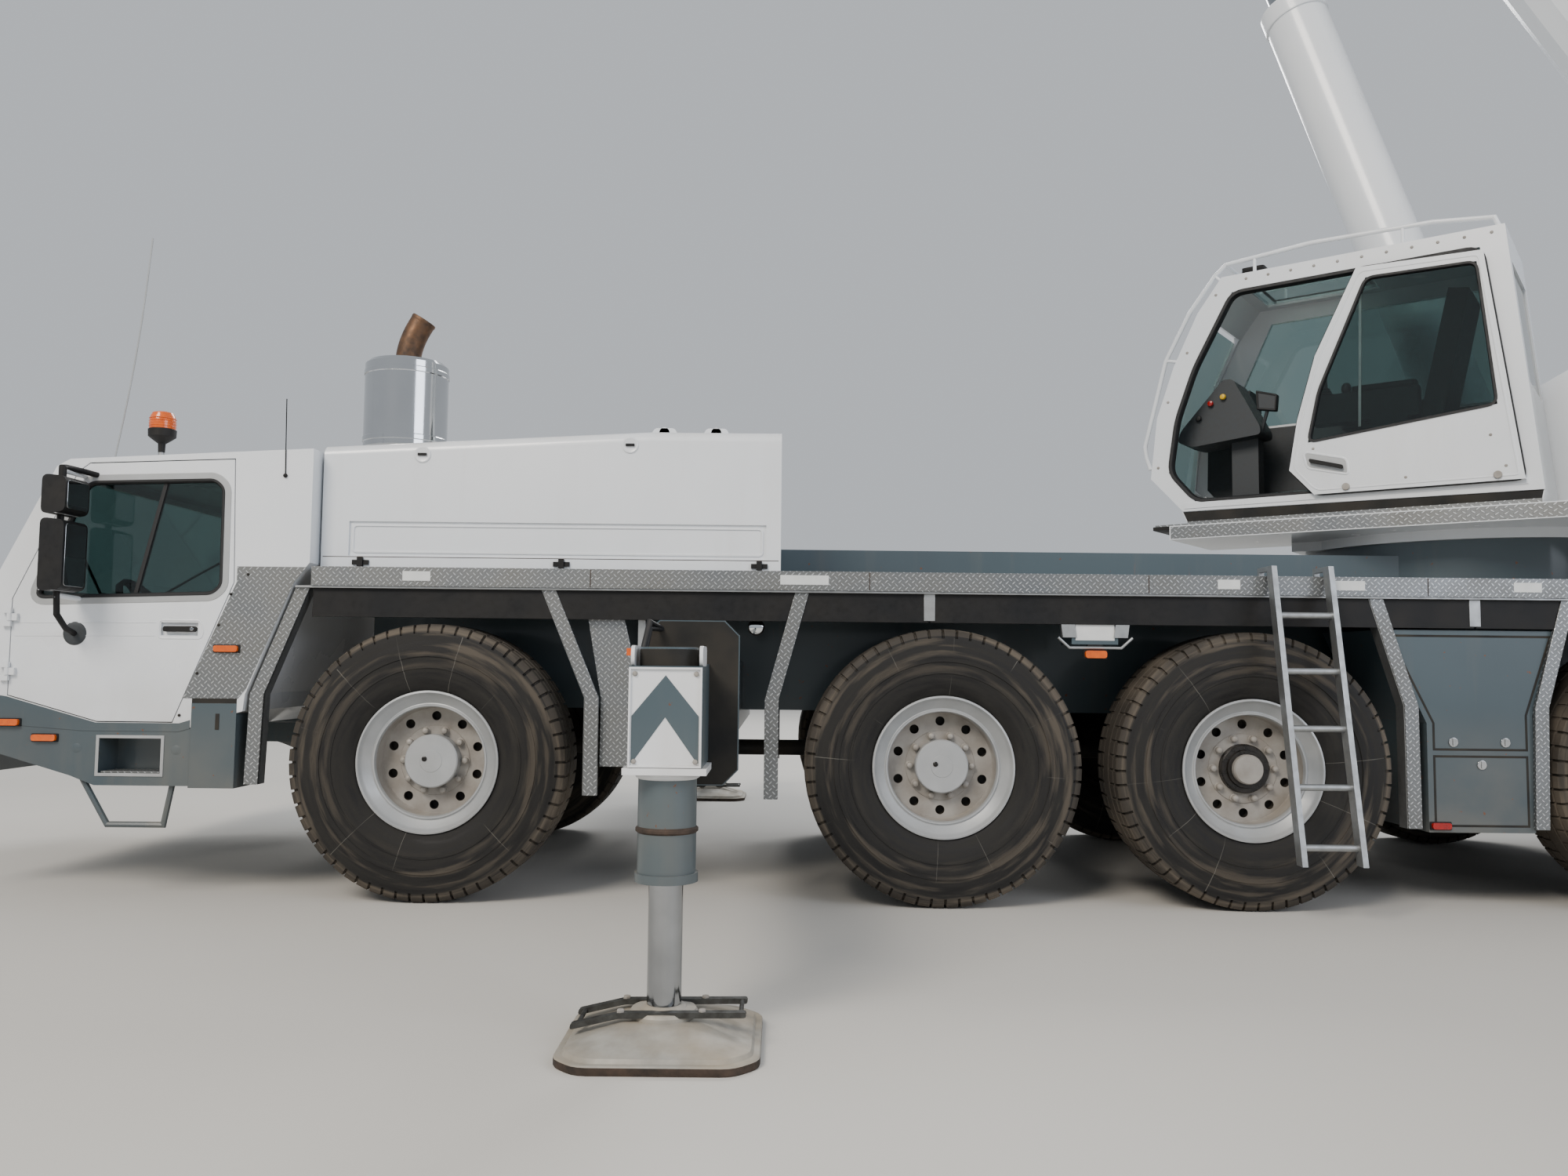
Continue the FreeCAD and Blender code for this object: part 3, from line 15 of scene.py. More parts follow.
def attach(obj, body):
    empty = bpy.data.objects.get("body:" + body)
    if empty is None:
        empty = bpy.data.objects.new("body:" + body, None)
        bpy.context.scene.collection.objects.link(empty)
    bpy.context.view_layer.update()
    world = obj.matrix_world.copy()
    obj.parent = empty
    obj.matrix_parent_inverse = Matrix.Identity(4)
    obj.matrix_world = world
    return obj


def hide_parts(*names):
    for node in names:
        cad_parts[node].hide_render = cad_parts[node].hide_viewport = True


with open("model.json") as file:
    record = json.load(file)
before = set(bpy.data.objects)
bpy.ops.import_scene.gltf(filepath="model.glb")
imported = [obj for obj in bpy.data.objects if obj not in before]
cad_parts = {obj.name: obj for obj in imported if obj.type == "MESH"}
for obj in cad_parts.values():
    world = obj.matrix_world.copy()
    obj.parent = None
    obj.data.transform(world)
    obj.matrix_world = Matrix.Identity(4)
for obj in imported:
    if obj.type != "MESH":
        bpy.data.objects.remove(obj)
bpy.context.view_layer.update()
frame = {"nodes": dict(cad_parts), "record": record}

# Camera, worked out for a picture of 2000 by 1500 pixels
CAMERA_PLACE = (-1.9, -7.75, 1.27)
CAMERA_PITCH = 3.8
CAMERA_ROLL = 0.6
FOCAL_PX, PICTURE_W, SENSOR_W = 1500.0, 2000.0, 36.0

# Slewing: local x is the distance ahead of the slew centre
SLEW_CENTRE = (2.6, 0.0)
SLEW_ANGLE = math.radians(-38.0)

# Directions on the crane, and along the cylinder or boom before it is turned up
AHEAD, ALONG, LEFT, RIGHT, UP, DOWN = (-1, 0, 0), (1, 0, 0), (0, -1, 0), (0, 1, 0), (0, 0, 1), (0, 0, -1)

# Wheels
TYRE_R, TRACK_HALF = 0.740, 1.265
DISC_Y, HUB_R = 0.025, 0.143
HOLES, HOLE_RING, NUT_RING = 10, 0.240, 0.1675
LUGS, GROOVE_DEEP, GROOVE_SIDE = 60, 0.013, 0.010  # a groove's depth off the tread and off the side
AXLES = {"1": -3.79, "2": -1.04, "3": 0.61, "4": 2.96, "5": 4.61}
SIDES = {"left": -1.0, "right": 1.0}

# Carrier
DECK_TOP, DECK_HALF, DECK_EDGE = 1.780, 1.450, 0.103
DECK_FRONT, BODY_HALF = -4.44, 1.440

DUST = "9c8d75"
RUST = "6d3f22"


def linear(code, alpha=1.0):
    """An sRGB hex colour as linear red, green, blue and alpha."""
    parts = np.array([int(code[i:i + 2], 16) for i in (0, 2, 4)]) / 255.0
    parts = np.where(parts <= 0.04045, parts / 12.92, ((parts + 0.055) / 1.055) ** 2.4)
    return (*[float(c) for c in parts], alpha)


# Surfaces

def quads(rows, columns, round_rows=False, round_columns=False):
    """Joins each point of a rows by columns grid to its next along both ways; a round way closes on
    itself."""
    i, j = np.meshgrid(np.arange(rows - (not round_rows)), np.arange(columns - (not round_columns)),
                       indexing="ij")
    k, m = (i + 1) % rows, (j + 1) % columns
    return np.stack([i * columns + j, k * columns + j, k * columns + m, i * columns + m], -1).reshape(-1, 4)


def patch(points, faces, finish, facing=None, uv=None):
    """A surface as welded points and faces that point outwards. Twice the area vector of a face is the sum
    of cross products round it. A closed surface is turned so that its volume is positive, an open one so
    that its area vectors lean to the direction it faces."""
    points = np.asarray(points, float).reshape(-1, 3)
    corners = [None if uv is None else np.asarray(uv, float).reshape(-1, 2)[f] for f in faces]
    _, first, same = np.unique(np.round(points * 1e5).astype(np.int64), axis=0, return_index=True,
                               return_inverse=True)
    points, faces = points[first], [same.reshape(-1)[f] for f in faces]
    total = 0.0
    middle = points.mean(0)
    for face in faces:
        ring = points[face] - middle
        area = np.cross(ring, np.roll(ring, -1, axis=1)).sum(1)
        total += float((area @ facing).sum() if facing is not None else (area * ring[:, 0]).sum())
    if total < 0:
        faces = [f[:, ::-1] for f in faces]
        corners = [None if c is None else c[:, ::-1] for c in corners]
    return points, faces, finish, corners


def surface(points, finish, facing=None, round_rows=False, round_columns=False, uv=None):
    """A grid of points as one patch."""
    rows, columns = points.shape[:2]
    return patch(points, [quads(rows, columns, round_rows, round_columns)], finish, facing, uv)


def revolve(profile, centre, axis, turns, finish, facing=None):
    """Carries a profile of (radius, distance along the axis) round it: centre + r (cos t u + sin t v) + h
    axis."""
    axis = np.array(axis, float) / np.linalg.norm(axis)
    u = np.cross(axis, (0, 0, 1) if abs(axis[2]) < 0.9 else (1, 0, 0))
    u /= np.linalg.norm(u)
    v = np.cross(axis, u)
    t = np.arange(turns) * 2 * math.pi / turns
    r, h = np.array(profile, float).T
    spokes = np.cos(t)[:, None] * u + np.sin(t)[:, None] * v
    points = np.array(centre, float) + spokes[:, None, :] * r[None, :, None] + h[None, :, None] * axis
    return surface(points, finish, facing, round_rows=True)


def disc(radius, low, high, edge, centre, axis, turns, finish):
    """A solid drum about an axis, from low to high along it, with its rims broken by an edge."""
    profile = [(0, low), (radius - edge, low), (radius, low + edge), (radius, high - edge),
               (radius - edge, high),
               (0, high)]
    return revolve(profile, centre, axis, turns, finish)


def hex_head(radius, low, high, centre, axis, edge=0.002):
    """A bolt's hexagon head or nut."""
    return disc(radius, low, high, edge, centre, axis, 6, "rim_dusty")


def dome_head(radius, height, centre, axis, turns):
    """A round bolt head."""
    return revolve([(0, height), (0.006, height - 0.001), (radius, 0), (0, 0)], centre, axis, turns,
                   "rim_dusty")


def on_circle(count, radius, first=0.0):
    """Points evenly round a circle, as pairs; the first lies so many steps on from angle 0."""
    angle = (np.arange(count) + first) * 2 * math.pi / count
    return radius * np.column_stack([np.cos(angle), np.sin(angle)])


def at_depth(path, depth):
    """A path given by (along, height) pairs, at one depth sideways."""
    return [(a, depth, z) for a, z in path]


def tube(path, radius, sides, finish, flat=1.0):
    """Carries a circle along a path. Each ring stands on the mean of the two directions that meet at its
    point, and the ring's first spoke is carried from one to the next so that the tube doesn't twist."""
    path = np.asarray(path, float)
    steps = np.diff(path, axis=0)
    steps /= np.linalg.norm(steps, axis=1)[:, None]
    ways = np.vstack([steps[:1], steps[:-1] + steps[1:], steps[-1:]])
    ways /= np.linalg.norm(ways, axis=1)[:, None]
    spoke = np.cross(ways[0], (0, 0, 1) if abs(ways[0][2]) < 0.9 else (0, 1, 0))
    rings = []
    angle = np.arange(sides) * 2 * math.pi / sides
    for k, (point, way) in enumerate(zip(path, ways)):
        spoke = spoke - (spoke @ way) * way
        spoke /= np.linalg.norm(spoke)
        other = np.cross(way, spoke)
        stretch = 1.0 / max(0.35, float(way @ steps[min(k, len(steps) - 1)]))
        ring = np.cos(angle)[:, None] * spoke + np.sin(angle)[:, None] * other * flat
        rings.append(point + radius * ring * (stretch if 0 < k < len(path) - 1 else 1.0))
    caps = [np.arange(sides)[None, :], (np.arange(sides)[::-1] + sides * (len(path) - 1))[None, :]]
    faces = [quads(len(path), sides, round_columns=True)] + caps
    return patch(np.array(rings), faces, finish)


def rounded(outline, radius, steps=4):
    """A closed outline in two dimensions with its corners rounded: each corner becomes a curve of second
    order from a point on one side to a point on the next, P(t) = (1-t)^2 a + 2t(1-t) corner + t^2 b."""
    outline = np.asarray(outline, float)
    before, after = np.roll(outline, 1, axis=0) - outline, np.roll(outline, -1, axis=0) - outline
    long_before, long_after = [np.linalg.norm(way, axis=1)[:, None] for way in (before, after)]
    reach = np.minimum(radius, 0.45 * np.minimum(long_before, long_after))
    a, b = outline + before / long_before * reach, outline + after / long_after * reach
    t = np.linspace(0, 1, steps + 1)[None, :, None]
    curves = (1 - t) ** 2 * a[:, None] + 2 * t * (1 - t) * outline[:, None] + t ** 2 * b[:, None]
    return curves.reshape(-1, 2)


def rect(a0, a1, b0, b1, radius=0.0):
    """The corners of an upright rectangle, rounded if a radius is given."""
    corners = [(a0, b0), (a1, b0), (a1, b1), (a0, b1)]
    return rounded(corners, radius) if radius else corners


def band(inner, outer, depth, proud):
    """Profile of a flat band for frame_round: from one distance inwards to the other, standing proud of a
    depth."""
    return [(inner, depth), (inner, depth + proud), (outer, depth + proud), (outer, depth)]


def swap(points, plane):
    """Puts (a, b, depth) triples where the plane says: side is x, z, y; front is y, z, x; top is x, y,
    z."""
    order = {"side": (0, 2, 1), "front": (2, 0, 1), "top": (0, 1, 2)}[plane]
    return np.asarray(points, float)[..., list(order)]


def prism(outline, low, high, finish, plane="side"):
    """A closed outline carried straight from the depth low to the depth high."""
    outline = np.asarray(outline, float)
    count = len(outline)
    rings = np.array([np.column_stack([outline, np.full(count, d)]) for d in (low, high)])
    ring = np.arange(count)[None]
    return patch(swap(rings, plane), [quads(2, count, round_columns=True), ring, ring[:, ::-1] + count],
                 finish)


def block(x0, x1, y0, y1, z0, z1, finish):
    """A box between two corners."""
    return prism(rect(x0, x1, y0, y1), z0, z1, finish, "top")


def frame_round(outline, profile, finish, plane="side"):
    """Carries a profile of (distance inwards, depth) round a closed outline, mitred where sides meet: at a
    corner the inward step is the sum of both sides' inward normals over one plus their product."""
    outline = np.asarray(outline, float)
    x, y = outline.T
    if (x * np.roll(y, -1) - y * np.roll(x, -1)).sum() < 0:
        outline = outline[::-1]
    side = np.roll(outline, -1, axis=0) - outline
    side /= np.linalg.norm(side, axis=1)[:, None]
    inward = np.column_stack([-side[:, 1], side[:, 0]])
    before = np.roll(inward, 1, axis=0)
    step = (inward + before) / (1.0 + (inward * before).sum(1))[:, None]
    a, d = np.array(profile, float).T
    flat = outline[:, None] + step[:, None] * a[None, :, None]
    depth = np.broadcast_to(d[None, :, None], flat.shape[:2] + (1,))
    points = swap(np.concatenate([flat, depth], -1), plane)
    return surface(points, finish, round_rows=True, round_columns=True)


def ball(centre, radius, finish, squash=1.0, turns=12):
    """A dome or ball about +Z."""
    t = np.linspace(-math.pi / 2, math.pi / 2, 7)
    profile = np.column_stack([radius * np.cos(t), radius * squash * np.sin(t)])
    return revolve(profile, centre, UP, turns, finish)


def mirror_y(patches):
    """The patches and their mirror images across the middle plane."""
    other = []
    for points, faces, finish, corners in patches:
        other.append((points * (1, -1, 1), [f[:, ::-1] for f in faces], finish,
                      [None if c is None else c[:, ::-1] for c in corners]))
    return list(patches) + other


def shifted(patches, dx, side):
    """Patches made for the right side, carried by dx and mirrored for the left side."""
    if side < 0:
        patches = mirror_y(patches)[len(patches):]
    return [(points + (dx, 0, 0), faces, finish, corners) for points, faces, finish, corners in patches]


def turned_up(points):
    """Superstructure points, given as (ahead of the slew centre, sideways, height), to their place on the
    crane."""
    ahead, y, z = np.asarray(points, float).T
    c, s = math.cos(SLEW_ANGLE), math.sin(SLEW_ANGLE)
    return np.column_stack([SLEW_CENTRE[0] - c * ahead - s * y, SLEW_CENTRE[1] - s * ahead + c * y, z])


def new_object(name, data):
    """One more object in the scene."""
    thing = bpy.data.objects.new(name, data)
    bpy.context.scene.collection.objects.link(thing)
    return thing


def make_piece(name, patches, body, replaces=(), turned=False, bevel=0.0, sharp=32.0):
    """One object from patches, each in its finish, riding on a body. Welding can fold a face's corner into
    the next one, and then the face loses it. A turned piece is drawn facing forward, and its faces are
    reversed because the turn from (ahead, sideways, height) mirrors it."""
    points, faces, owners, uvs = [], [], [], []
    finishes = sorted({p[2] for p in patches})
    start = 0
    way = -1 if turned else 1
    for pts, groups, finish, corners in patches:
        for group, corner in zip(groups, corners):
            corner = np.zeros(group.shape + (2,)) if corner is None else corner
            again = group == np.roll(group, 1, axis=1)
            for count in (0, 1):
                rows = again.sum(1) == count
                keep = ~again[rows]
                width = group.shape[1] - count
                picked = group[rows][keep].reshape(-1, width)[:, ::way]
                faces += (picked + start).tolist()
                uvs.append(corner[rows][keep].reshape(-1, width, 2)[:, ::way].reshape(-1, 2))
                owners += [finishes.index(finish)] * len(picked)
        points.append(pts)
        start += len(pts)
    points = np.concatenate(points)
    mesh = bpy.data.meshes.new(name)
    mesh.from_pydata((turned_up(points) if turned else points).tolist(), [], faces)
    mesh.polygons.foreach_set("material_index", owners)
    mesh.polygons.foreach_set("use_smooth", [True] * len(faces))
    mesh.uv_layers.new(name="UVMap").data.foreach_set("uv", np.concatenate(uvs).ravel().astype(np.float32))
    mesh.set_sharp_from_angle(angle=math.radians(sharp))
    for finish in finishes:
        mesh.materials.append(materials[finish])
    mesh.update()
    piece = new_object(name, mesh)
    if bevel:
        modifier = piece.modifiers.new("softened edges", "BEVEL")
        modifier.width, modifier.segments, modifier.angle_limit = bevel, 2, math.radians(35)
        modifier.harden_normals = False
    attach(piece, body)
    if replaces:
        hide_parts(*replaces)


# Wheels

def tyre(centre, side, turn):
    """Radial truck tyre: its section, given from the bead up over the shoulder to the middle of the tread,
    is mirrored and carried round, and every lug's groove takes depth off the shoulder where its share is
    1."""
    half = np.array([  # radius, distance outwards, share of the lug grooves
        (0.366, 0.150, 0), (0.380, 0.170, 0), (0.392, 0.178, 0), (0.420, 0.196, 0), (0.455, 0.2085, 0),
        (0.498, 0.2150, 0), (0.500, 0.2185, 0), (0.507, 0.2185, 0), (0.509, 0.2155, 0), (0.560, 0.2180, 0),
        (0.562, 0.2225, 0), (0.586, 0.2225, 0), (0.588, 0.2185, 0), (0.640, 0.2130, 0), (0.687, 0.2030, 0),
        (0.689, 0.2025, 1), (0.712, 0.1960, 1), (0.728, 0.1880, 1), (0.7350, 0.1780, 1), (0.7375, 0.137, 1),
        (0.724, 0.134, 0), (0.724, 0.123, 0), (0.7385, 0.120, 0.5), (0.7395, 0.056, 0.5), (0.726, 0.053, 0),
        (0.726, 0.043, 0), (0.740, 0.040, 0)])
    section = np.vstack([half, half[::-1] * (1, -1, 1)])
    r, out, share = section.T
    starts = np.arange(LUGS)[:, None] + np.array([0.0, 0.03, 0.17, 0.20])
    angle = np.append(starts.ravel(), LUGS) * 2 * math.pi / LUGS
    depth = np.append(np.tile([0.0, 1.0, 1.0, 0.0], LUGS), 0.0)[:, None] * share
    radius = r - GROOVE_DEEP * depth
    width = (out - np.sign(out) * GROOVE_SIDE * depth) * side
    x = centre[0] + radius * np.cos(angle)[:, None]
    z = centre[2] + radius * np.sin(angle)[:, None]
    points = np.stack([x, centre[1] + width, z], -1)
    uv = np.stack([np.broadcast_to((angle / (2 * math.pi) + turn)[:, None], radius.shape), radius], -1)
    return surface(points, "tyre", uv=uv)


def pierced_disc(centre, side, inner, outer, ring_r, hole_r, holes, finish):
    """A flat disc with round holes on a ring. In each hole's sector the grid runs from the hole's circle, t
    = 0, to the sector's edge, t = 1, which is the same direction pushed out onto a square in radius and
    angle."""
    turn = np.linspace(0, 2 * math.pi, 33)
    push = 1.0 / np.maximum(np.abs(np.cos(turn)), np.abs(np.sin(turn)))
    t = np.linspace(0, 1, 4)[:, None]
    edge_r = (inner + outer) / 2 + np.cos(turn) * push * (outer - inner) / 2
    edge_a = np.sin(turn) * push * math.pi / holes
    x = (1 - t) * (ring_r + hole_r * np.cos(turn)) + t * edge_r * np.cos(edge_a)
    z = (1 - t) * hole_r * np.sin(turn) + t * edge_r * np.sin(edge_a)
    depth = np.full_like(x, side * DISC_Y)
    return [surface(np.stack([x * c - z * s, depth, x * s + z * c], -1) + centre, finish, (0, side, 0))
            for c, s in on_circle(holes, 1.0, 0.5)]


def rim(centre, side, open_hub):
    """Disc wheel: flange, gutter and lock ring, the recessed disc with its hand holes and nuts, and the
    hub."""
    out = (0, side, 0)

    def turned(profile, turns, finish, way=None, spot=(0, 0)):
        return revolve(profile, np.array(centre) + (spot[0], 0, spot[1]), out, turns, finish, way)

    gutter = [(0.366, 0.150), (0.378, 0.172), (0.381, 0.178), (0.379, 0.183), (0.370, 0.185), (0.366, 0.181),
              (0.362, 0.172), (0.350, 0.160), (0.322, 0.136), (0.313, 0.129), (0.308, 0.131), (0.304, 0.136),
              (0.297, 0.136), (0.293, 0.130), (0.291, 0.115)]
    well = [(0.291, 0.115), (0.289, 0.034), (0.284, DISC_Y)]
    step = [(0.190, DISC_Y), (0.186, DISC_Y + 0.004), (HUB_R - 0.01, DISC_Y + 0.004)]
    back = [(0.366, -0.150), (0.381, -0.178), (0.376, -0.184), (0.345, -0.160), (0.330, -0.04),
            (0.060, -0.04)]
    # A hand hole is a blind cup with a floor: its black is painted shade for the dark inside of the wheel
    hole = [(0.025, DISC_Y), (0.0235, DISC_Y - 0.012), (0.0235, -0.02), (0, -0.02)]
    nut = [(0, 0.024), (0.023, 0.024), (0.023, 0.034), (0.018, 0.036), (0.018, 0.055), (0.014, 0.062),
           (0.006, 0.066),
           (0, 0.067)]
    patches = [turned(gutter, 96, "rim_paint", out), turned(well, 96, "rim_dusty", out),
               turned(step, 64, "rim_dusty", out), turned(back, 48, "axle_black", (0, -side, 0))]
    patches += pierced_disc(centre, side, 0.190, 0.284, HOLE_RING, 0.025, HOLES, "rim_dusty")
    # Black hole cups in the chassis-paint finish: painted shade seen through each hand hole
    patches += [turned(hole, 32, "axle_black", out, spot) for spot in on_circle(HOLES, HOLE_RING, 0.5)]
    patches += [turned(nut, 12, "rim_dusty", spot=spot) for spot in on_circle(HOLES, NUT_RING)]
    if open_hub:
        ring = [(0, 0.02), (0.132, 0.02), (0.132, 0.060), (0.126, 0.066), (0.104, 0.066), (0.100, 0.080),
                (0.088, 0.080),
                (0, 0.080)]
        nose = [(0, 0.07), (0.080, 0.07), (0.080, 0.110), (0.074, 0.120), (0.030, 0.124), (0, 0.124)]
        return patches + [turned(ring, 48, "grease"), turned(nose, 48, "rim_dusty")]
    cap = [(0, 0.02), (HUB_R, 0.02), (HUB_R, 0.104), (HUB_R - 0.006, 0.110), (0.060, 0.110), (0.058, 0.112),
           (0, 0.112)]
    plug = [(0, 0.105), (0.014, 0.105), (0.014, 0.115), (0.009, 0.117), (0.006, 0.113), (0, 0.113)]
    return patches + [turned(cap, 64, "rim_paint"), turned(plug, 16, "grease", spot=(-0.035, 0.012))]


def make_wheels():
    """Ten tyres, each with its marks turned by a share of its own, and their rims. The hubs of axle 3 are
    open."""
    for k, (axle, x) in enumerate(AXLES.items()):
        for name, side in SIDES.items():
            wheel = "_%s_%s" % (axle, name)
            centre = (x, side * TRACK_HALF, TYRE_R)
            rubber = tyre(centre, side, 0.137 * k + 0.31 * (side > 0))
            make_piece("tyre" + wheel, [rubber], "wheel" + wheel, ["wheel" + wheel], sharp=30)
            make_piece("rim" + wheel, rim(centre, side, axle == "3"), "wheel" + wheel, sharp=28)


# Finishes

def add(tree, kind, sockets=None, **settings):
    """Adds one shader node with its settings; sockets maps each input to a value or to another node's
    output."""
    node = tree.nodes.new("ShaderNode" + kind)
    for name, value in settings.items():
        setattr(node, name, value)
    for name, value in (sockets or {}).items():
        if isinstance(value, bpy.types.NodeSocket):
            tree.links.new(value, node.inputs[name])
        else:
            node.inputs[name].default_value = value
    return node.outputs


def new_material(name, **shader):
    """A material with one Principled shader; returns the material, its tree and the shader node."""
    material = bpy.data.materials.new(name)
    material.use_nodes = True
    tree = material.node_tree
    bsdf = tree.nodes["Principled BSDF"]
    for socket, value in shader.items():
        bsdf.inputs[socket.replace("_", " ")].default_value = value
    return material, tree, bsdf


def sums(tree, operation, *values, clamp=False):
    """One arithmetic step on sockets or numbers."""
    return add(tree, "Math", dict(enumerate(values)), operation=operation, use_clamp=clamp)[0]


def times(tree, *values, clamp=False):
    """The product of two sockets or numbers."""
    return sums(tree, "MULTIPLY", *values, clamp=clamp)


def ramp(tree, value, low, high, ends=(0.0, 1.0)):
    """A value taken from the first end at low to the second at high, and kept between them."""
    sockets = {"Value": value, "From Min": low, "From Max": high, "To Min": ends[0], "To Max": ends[1]}
    return add(tree, "MapRange", sockets)[0]


def place_of(tree, stretch=(1, 1, 1), seed=0.0):
    """Object coordinates, stretched and shifted."""
    place = add(tree, "TexCoord")["Object"]
    return add(tree, "Mapping", {"Vector": place, "Scale": stretch, "Location": (seed,) * 3})[0]


def mask(tree, mm, low, high, stretch=(1, 1, 1), detail=4.0, seed=0.0, place=None):
    """Blotches about mm across: noise at 1000 / mm per metre, taken from 0 at low to 1 at high."""
    place = place or place_of(tree, stretch, seed)
    noise = add(tree, "TexNoise", {"Vector": place, "Scale": 1000.0 / mm, "Detail": detail})[0]
    return ramp(tree, noise, low, high)


def by_height(tree, clean, dirty):
    """0 above the height clean, rising to 1 at the height dirty."""
    z = add(tree, "SeparateXYZ", {0: add(tree, "TexCoord")["Object"]})["Z"]
    return ramp(tree, z, clean, dirty)


def facing_up(tree):
    """1 on faces that look up, where dust settles, and 0 on upright ones."""
    z = add(tree, "SeparateXYZ", {0: add(tree, "NewGeometry")["Normal"]})["Z"]
    return ramp(tree, z, 0.25, 0.95)


def laid_over(tree, amount, under, over):
    """One colour laid over another by a mask from 0 to 1; each is a hex code or a node's output."""
    under, over = [linear(colour) if isinstance(colour, str) else colour for colour in (under, over)]
    return add(tree, "Mix", {0: amount, 6: under, 7: over}, data_type="RGBA")[2]


def finish_surface(tree, bsdf, colour, rough_mask=None, rough=(0.3, 0.6), bump=None, depth_mm=0.2):
    """Joins colour, a roughness that follows a mask, and a bump of a depth in millimetres to the shader."""
    tree.links.new(colour, bsdf.inputs["Base Color"])
    if rough_mask is not None:
        tree.links.new(ramp(tree, rough_mask, 0.0, 1.0, rough), bsdf.inputs["Roughness"])
    if bump is not None:
        normal = add(tree, "Bump", {"Height": bump, "Distance": depth_mm / 1000.0, "Strength": 1.0})[0]
        tree.links.new(normal, bsdf.inputs["Normal"])


def enamel(name, paint, shade, dust=0.5, rust=0.0, clean=1.9, dirty=0.6, gloss=0.25):
    """Sprayed two-pack enamel: an even gloss with faint orange peel, dulled by road dust that thickens
    towards the ground and on ledges, thin run-down streaks, and small rust spots where stones chipped the
    paint."""
    material, tree, bsdf = new_material(name, Specular_IOR_Level=0.5, Coat_Weight=0.3, Coat_Roughness=0.1)
    colour = laid_over(tree, mask(tree, 1400, 0.35, 0.7), paint, shade)
    patchy = mask(tree, 420, 0.3, 0.75, detail=10)
    low = times(tree, patchy, by_height(tree, clean, dirty))
    ledge = times(tree, times(tree, patchy, facing_up(tree)), 0.7)
    drips = times(tree, mask(tree, 150, 0.55, 0.85, stretch=(1, 1, 0.1), detail=7), 0.22)
    film = sums(tree, "ADD", sums(tree, "ADD", low, ledge), drips, clamp=True)
    film = times(tree, film, dust)
    colour = laid_over(tree, film, colour, DUST)
    if rust:
        spots = mask(tree, 34, 0.735 - 0.06 * rust, 0.755 - 0.06 * rust, detail=6, seed=7)
        runs = mask(tree, 60, 0.74 - 0.05 * rust, 0.86, stretch=(1, 1, 0.14), detail=5, seed=11)
        colour = laid_over(tree, times(tree, runs, 0.55), colour, "8a5a38")
        colour = laid_over(tree, times(tree, spots, 0.9), colour, RUST)
    finish_surface(tree, bsdf, colour, film, (gloss, 0.7), mask(tree, 7, 0.2, 0.8, detail=1), 0.03)
    return material


def chequer_plate(name, metal, worn, grime, dust=0.3):
    """Aluminium tread plate, rolled: raised bars that lie crosswise in turn, 36 mm from one to the next,
    bright on top where boots polish them, with grey dirt between. Each cell's parity turns its bar, and an
    ellipse in the cell, (2.1 along)^2 + (7 across)^2 < 1, is the bar's top."""
    material, tree, bsdf = new_material(name, Metallic=0.9, Roughness=0.4)
    cell = 0.036
    facing = add(tree, "NewGeometry")["True Normal"]
    facing = add(tree, "VectorMath", {0: facing}, operation="ABSOLUTE")[0]
    nx, _, nz = add(tree, "SeparateXYZ", {0: facing})
    x, y, z = add(tree, "SeparateXYZ", {0: add(tree, "TexCoord")["Object"]})
    u = add(tree, "Mix", {0: sums(tree, "GREATER_THAN", nx, 0.8), 2: x, 3: y})[0]
    v = add(tree, "Mix", {0: sums(tree, "GREATER_THAN", nz, 0.7), 2: z, 3: y})[0]
    halves, cells = [], []
    for sign in (1.0, -1.0):
        steps = times(tree, sums(tree, "MULTIPLY_ADD", v, sign, u), 1.0 / cell)
        cells.append(sums(tree, "FLOOR", steps))
        halves.append(sums(tree, "SUBTRACT", sums(tree, "FRACT", steps), 0.5))
    parity = sums(tree, "FLOORED_MODULO", sums(tree, "ADD", cells[0], cells[1]), 2.0)
    along = add(tree, "Mix", {0: parity, 2: halves[0], 3: halves[1]})[0]
    across = add(tree, "Mix", {0: parity, 2: halves[1], 3: halves[0]})[0]
    far = sums(tree, "ADD", sums(tree, "POWER", times(tree, along, 2.1), 2.0),
               sums(tree, "POWER", times(tree, across, 7.0), 2.0))
    raised = ramp(tree, far, 1.1, 0.55)
    film = times(tree, sums(tree, "MULTIPLY_ADD", raised, -0.6, 1.0), mask(tree, 300, 0.3, 0.75, detail=8))
    film = times(tree, film, dust * 2)
    colour = laid_over(tree, raised, worn, metal)
    colour = laid_over(tree, film, colour, grime)
    finish_surface(tree, bsdf, colour, film, (0.30, 0.75), raised, 2.2)
    return material


def plain(name, base, shade, mm=40, rough=(0.4, 0.6), metallic=0.0, bump_mm=0.1, dust=0.0, **shader):
    """A surface of one stuff with two tones in blotches mm across, a grain of mm / 6, and a film of dust
    that is thicker on top faces."""
    material, tree, bsdf = new_material(name, Metallic=metallic, **shader)
    tone = mask(tree, mm, 0.3, 0.7, detail=6)
    colour = laid_over(tree, tone, base, shade)
    if dust:
        film = times(tree, mask(tree, 230, 0.35, 0.8, detail=9, seed=3),
                    sums(tree, "MULTIPLY_ADD", facing_up(tree), dust, dust), clamp=True)
        colour = laid_over(tree, film, colour, DUST)
    finish_surface(tree, bsdf, colour, tone, rough, mask(tree, mm / 6.0, 0.3, 0.7, detail=3), bump_mm)
    return material


def tinted_glass(name, tint, rough=0.02):
    """Toughened safety glass, tinted in the melt: dark from outside, with a thin film of dust."""
    material, tree, bsdf = new_material(name, Transmission_Weight=1.0, IOR=1.45, Roughness=rough)
    haze = times(tree, mask(tree, 350, 0.4, 0.8, detail=7), 0.12)
    tree.links.new(laid_over(tree, haze, tint, "b9b6a8"), bsdf.inputs["Base Color"])
    return material


